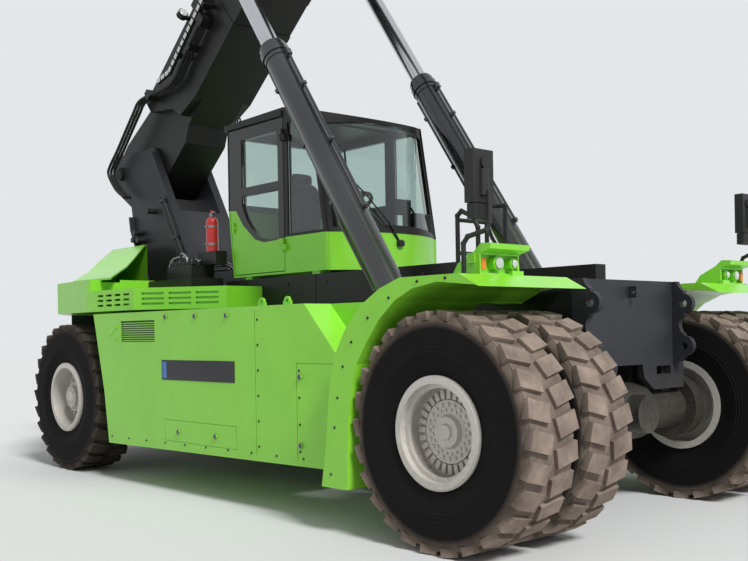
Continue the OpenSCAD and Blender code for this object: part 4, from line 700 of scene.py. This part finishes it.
# %% Cab fittings
bm = bmesh.new()
block(bm, at(-4.15, -0.66, FLOOR_Z + 0.0005), at(-2.75, 0.66, FLOOR_Z + 0.010), 0.003)
piece("floor_mat", bm, hose_rubber, "chassis")
bm = bmesh.new()
block(bm, at(-2.80, 0.38, FLOOR_Z + 0.011), at(-2.62, 0.66, 2.72), 0.02)
block(bm, at(-2.95, 0.40, 2.73), at(-2.915, 0.64, 2.90), 0.008)
tube(bm, [at(-2.74, 0.52, 2.71), at(-2.80, 0.52, 2.79), at(-2.916, 0.52, 2.81)], 0.012)
piece("display_and_box", bm, plastic, "chassis")

# %% [markdown]
# Behind the cab steel pipes run from the tower's pipes to the valve block. They are bent from plain tube, with a nut at
# one end.

# %% Pipes at the valve block
PIPE_RUNS = [
    [(-4.80, -0.438, 2.287), (-4.75, -0.445, 2.288), (-4.72, -0.52, 2.30), (-4.73, -0.72, 2.33), (-4.76, -0.83, 2.32), (-4.77, -0.85, 2.258)],
    [(-4.80, -0.438, 2.237), (-4.74, -0.442, 2.238), (-4.66, -0.50, 2.25), (-4.64, -0.66, 2.29), (-4.66, -0.90, 2.31), (-4.67, -0.93, 2.258)],
    [(-5.16, -0.438, 2.187), (-5.10, -0.445, 2.188), (-5.02, -0.55, 2.22), (-4.97, -0.75, 2.34), (-4.93, -0.84, 2.33), (-4.92, -0.86, 2.258)],
    [(-5.05, -0.80, 2.258), (-5.05, -0.80, 2.32), (-5.10, -0.82, 2.38), (-5.22, -0.90, 2.36), (-5.26, -0.93, 2.25), (-5.26, -0.93, 2.108)],
    [(-4.99, -0.95, 2.258), (-4.99, -0.95, 2.34), (-4.90, -0.98, 2.40), (-4.78, -1.00, 2.35), (-4.75, -1.00, 2.258)],
]
bm = bmesh.new()
for run in PIPE_RUNS:
    points = [at(*p) for p in run]
    tube(bm, curved(points), 0.013)
    bar(bm, points[-1] - Vector((0, 0, 0.001)), (0, 0, 1), 0.022, 0.026, 6)
piece("valve_pipes", bm, zinc, "chassis")
bm = bmesh.new()
for k in range(6):
    x = -5.06 + 0.082 * k
    block(bm, at(x, -1.045, 2.2605), at(x + 0.06, -0.97, 2.30), 0.004)
    bar(bm, at(x + 0.03, -1.008, 2.30), (0, 0, 1), 0.016, 0.03, 12)
piece("valve_solenoids", bm, plastic, "chassis")

# %% [markdown]
# The red bottle is held by two steel straps, and a brass valve closes its neck.

# %% Straps and valve of the bottle
BOTTLE = (-4.52, -0.83)
bm = bmesh.new()
for z in (2.47, 2.66):
    bar(bm, at(*BOTTLE, z), (0, 0, 1), 0.0675, 0.022, 48)
    block(bm, at(BOTTLE[0] - 0.012, BOTTLE[1] - 0.085, z), at(BOTTLE[0] + 0.012, BOTTLE[1] - 0.06, z + 0.022), 0.002)
bar(bm, at(*BOTTLE, 2.782), (0, 0, 1), 0.029, 0.034, 6)
bar(bm, at(BOTTLE[0] + 0.01, BOTTLE[1], 2.828), (1, 0, 0), 0.011, 0.052, 12)
piece("bottle_straps", bm, zinc, "chassis")

# %% [markdown]
# Each mirror's glass lies in its housing and looks back along the machine. The left mirror
# stands a little further out than the right one.

# %% Mirror glass
LEFT_MIRROR_OUT = 0.05
bm = bmesh.new()
for side in (-1, 1):
    out = LEFT_MIRROR_OUT if side > 0 else 0
    low_y, high_y = sorted((side * (1.898 + out), side * (1.712 + out)))
    block(bm, at(0.168, low_y, 2.354), at(0.1728, high_y, 2.691), 0.001)
piece("mirror_panes", bm, mirror_glass, "chassis")

# %% [markdown]
# Steel pipes carry the oil along the boom's side. Rubber hoses take over where the boom
# turns on its pivot, and an energy chain holds the cables. A hose bends in one smooth
# curve, so each is a tube along a curve through its route's points. All of it is drawn
# along a level boom and then leaned to the boom's angle in one step.

# %% Hoses, pipes and clamps of the boom
BOOM_SIDE, PIPE_SIDE = -0.400, -0.460
HOSE_ROUTE = [(0.06, -0.52), (-0.03, -0.28), (-0.045, 0.01), (0.06, 0.07), (0.33, 0.075), (0.90, 0.115), (1.17, 0.10),
    (1.60, -0.21), (1.85, -0.335), (2.10, -0.322), (2.40, -0.306), (2.70, -0.290)]
HOSE_COUNT = 3
CLAMP_STARTS = [3.1, 4.4, 5.2, 6.1, 6.7, 7.6]
BOOM_PLACE = Matrix.Translation(on_boom(0, 0, 0)) @ Matrix.Rotation(-BOOM_ANGLE, 4, "Y")


def boom_piece(name, bm, material):
    bmesh.ops.transform(bm, matrix=BOOM_PLACE, verts=bm.verts)
    return piece(name, bm, material, "boom")


bm = bmesh.new()
for k in range(HOSE_COUNT):
    y = PIPE_SIDE + 0.026 - 0.044 * k
    tube(bm, curved([(s, y, n) for s, n in HOSE_ROUTE], 8), 0.018, 16)
    for (s, n), (s2, n2) in ((HOSE_ROUTE[0], HOSE_ROUTE[1]), (HOSE_ROUTE[-1], HOSE_ROUTE[-2])):
        bar(bm, (s, y, n), (s2 - s, 0, n2 - n), 0.0205, 0.06, 16)
hoses = boom_piece("boom_hoses", bm, hose_rubber)
for polygon in hoses.data.polygons:
    polygon.use_smooth = len(polygon.vertices) == 4
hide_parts("boom_pipes")
bm = bmesh.new()
for k in range(4):
    bar(bm, (2.70, PIPE_SIDE, 0.06 - 0.055 * k), (1, 0, 0), 0.014, 5.25, 24)
boom_piece("boom_pipe_runs", bm, zinc)
bm = bmesh.new()
for s in CLAMP_STARTS:
    block(bm, (s, PIPE_SIDE - 0.022, -0.13), (s + 0.06, BOOM_SIDE - 0.0003, 0.09), 0.004)
back = BOOM_SIDE - 0.0003
block(bm, (2.64, PIPE_SIDE - 0.090, -0.35), (2.76, back, -0.215), 0.006)
block(bm, (2.64, PIPE_SIDE + 0.002, -0.35), (2.76, back, 0.09), 0.003)
block(bm, (2.64, PIPE_SIDE - 0.022, -0.13), (2.76, back, 0.09), 0.006)
block(bm, (1.30, PIPE_SIDE - 0.084, -0.06), (1.38, back, 0.06), 0.004)
block(bm, (2.30, PIPE_SIDE - 0.084, -0.35), (2.36, back, -0.28), 0.004)
for s in (2.10, 2.84):
    block(bm, (s, PIPE_SIDE - 0.097, -0.235), (s + 0.05, back, -0.19), 0.003)
boom_piece("boom_clamps", bm, black)

# %% [markdown]
# The energy chain is a row of links about 90 mm long. Each has a dark body and a white
# nylon side plate, which makes the chain stand out on the boom.

# %% Energy chain
CHAIN_PATH = [(1.60, -0.11), (1.87, -0.24), (2.93, -0.19)]
CHAIN_Y = -0.553
link_bm, side_bm = bmesh.new(), bmesh.new()
for (s0, n0), (s1, n1) in zip(CHAIN_PATH, CHAIN_PATH[1:]):
    length = math.hypot(s1 - s0, n1 - n0)
    links = int(length / 0.090)
    lean = Matrix.Translation((s0, 0, n0)) @ Matrix.Rotation(-math.atan2(n1 - n0, s1 - s0), 4, "Y")
    run_links, run_sides = bmesh.new(), bmesh.new()
    for k in range(links):
        start, end = k * length / links + 0.002, (k + 1) * length / links - 0.014
        block(run_links, (start, CHAIN_Y, -0.002), (end, CHAIN_Y + 0.040, 0.058), 0.004)
        block(run_links, (end - 0.004, CHAIN_Y + 0.006, 0.008), (end + 0.020, CHAIN_Y + 0.034, 0.048))
        block(run_sides, (start + 0.004, CHAIN_Y - 0.0042, 0.003), (end - 0.006, CHAIN_Y - 0.0002, 0.053), 0.0015)
    for run, whole in ((run_links, link_bm), (run_sides, side_bm)):
        bmesh.ops.transform(run, matrix=lean, verts=run.verts)
        kept = bpy.data.meshes.new("run")
        run.to_mesh(kept)
        run.free()
        whole.from_mesh(kept)
        bpy.data.meshes.remove(kept)
boom_piece("energy_chain_links", link_bm, plastic)
boom_piece("energy_chain_plates", side_bm, white_plastic)

# %% [markdown]
# The boom's mouth and straps are bolted, and so are the pipe clamps along its side.

# %% Bolts of the boom
boom_bolts = []
side_out = Vector((0, -1, 0))
for s in (8.10, 8.26):
    for n in (-0.60, -0.44, -0.28, -0.12, 0.04):
        for y in (-1, 1):
            boom_bolts.append((on_boom(s, y * 0.4235, n), Vector((0, y, 0))))
for s in CLAMP_STARTS:
    for n in (-0.11, 0.07):
        boom_bolts.append((on_boom(s + 0.03, PIPE_SIDE - 0.0235, n), side_out))
for y in (-1, 1):
    for k in range(12):
        a = 2 * math.pi * k / 12
        boom_bolts.append((on_boom(0.068 * math.cos(a), y * 0.3815, 0.068 * math.sin(a)), Vector((0, y, 0))))
bolts("boom_bolts", boom_bolts, dark_steel, "boom", 0.010)

# %% [markdown]
# The scene stands on a plain pale floor. The world is pale where the camera, a reflection or
# glass looks at it, and gives a lower even light to the machine. One wide sun from the
# front right gives the soft shadow of the photograph's daylight.

# %% Floor, light and backdrop
world = bpy.data.worlds.new("studio")
bpy.context.scene.world = world
world.use_nodes = True
sky = world.node_tree
sky.nodes.clear()
rays = add(sky, "ShaderNodeLightPath")
seen = add(sky, "ShaderNodeMath", None, {0: rays.outputs["Is Camera Ray"], 1: rays.outputs["Is Glossy Ray"]}, operation="MAXIMUM")
seen = add(sky, "ShaderNodeMath", None, {0: seen.outputs[0], 1: rays.outputs["Is Transmission Ray"]}, operation="MAXIMUM")
even = add(sky, "ShaderNodeBackground", {"Color": colour("#FFFFFF"), "Strength": 0.5})
pale = add(sky, "ShaderNodeBackground", {"Color": colour("#E4E7EA"), "Strength": 1.0})
either = add(sky, "ShaderNodeMixShader", None, {0: seen.outputs[0], 1: even.outputs[0], 2: pale.outputs[0]})
add(sky, "ShaderNodeOutputWorld", None, {"Surface": either.outputs[0]})
floor_mesh = bpy.data.meshes.new("studio_floor")
floor_mesh.from_pydata([(-60, -60, 0), (60, -60, 0), (60, 60, 0), (-60, 60, 0)], [], [(0, 1, 2, 3)])
floor_material = bpy.data.materials.new("pale_studio_floor")
floor_material.use_nodes = True
floor_shader = floor_material.node_tree.nodes["Principled BSDF"]
floor_shader.inputs["Base Color"].default_value = colour("#CFD0D0")
floor_shader.inputs["Roughness"].default_value = 0.9
floor_mesh.materials.append(floor_material)
floor = bpy.data.objects.new("studio_floor", floor_mesh)
bpy.context.scene.collection.objects.link(floor)
sun_data = bpy.data.lights.new("soft_sun", "SUN")
sun_data.energy = 3.3
sun_data.angle = math.radians(14)
sun = bpy.data.objects.new("soft_sun", sun_data)
bpy.context.scene.collection.objects.link(sun)
sun_azimuth, sun_rise = math.radians(-12), 0.95
sun_direction = Vector((math.cos(sun_azimuth), math.sin(sun_azimuth), sun_rise))
sun.rotation_euler = sun_direction.to_track_quat("Z", "Y").to_euler()
bpy.context.scene.view_settings.view_transform = "Standard"
print("light and floor ready")
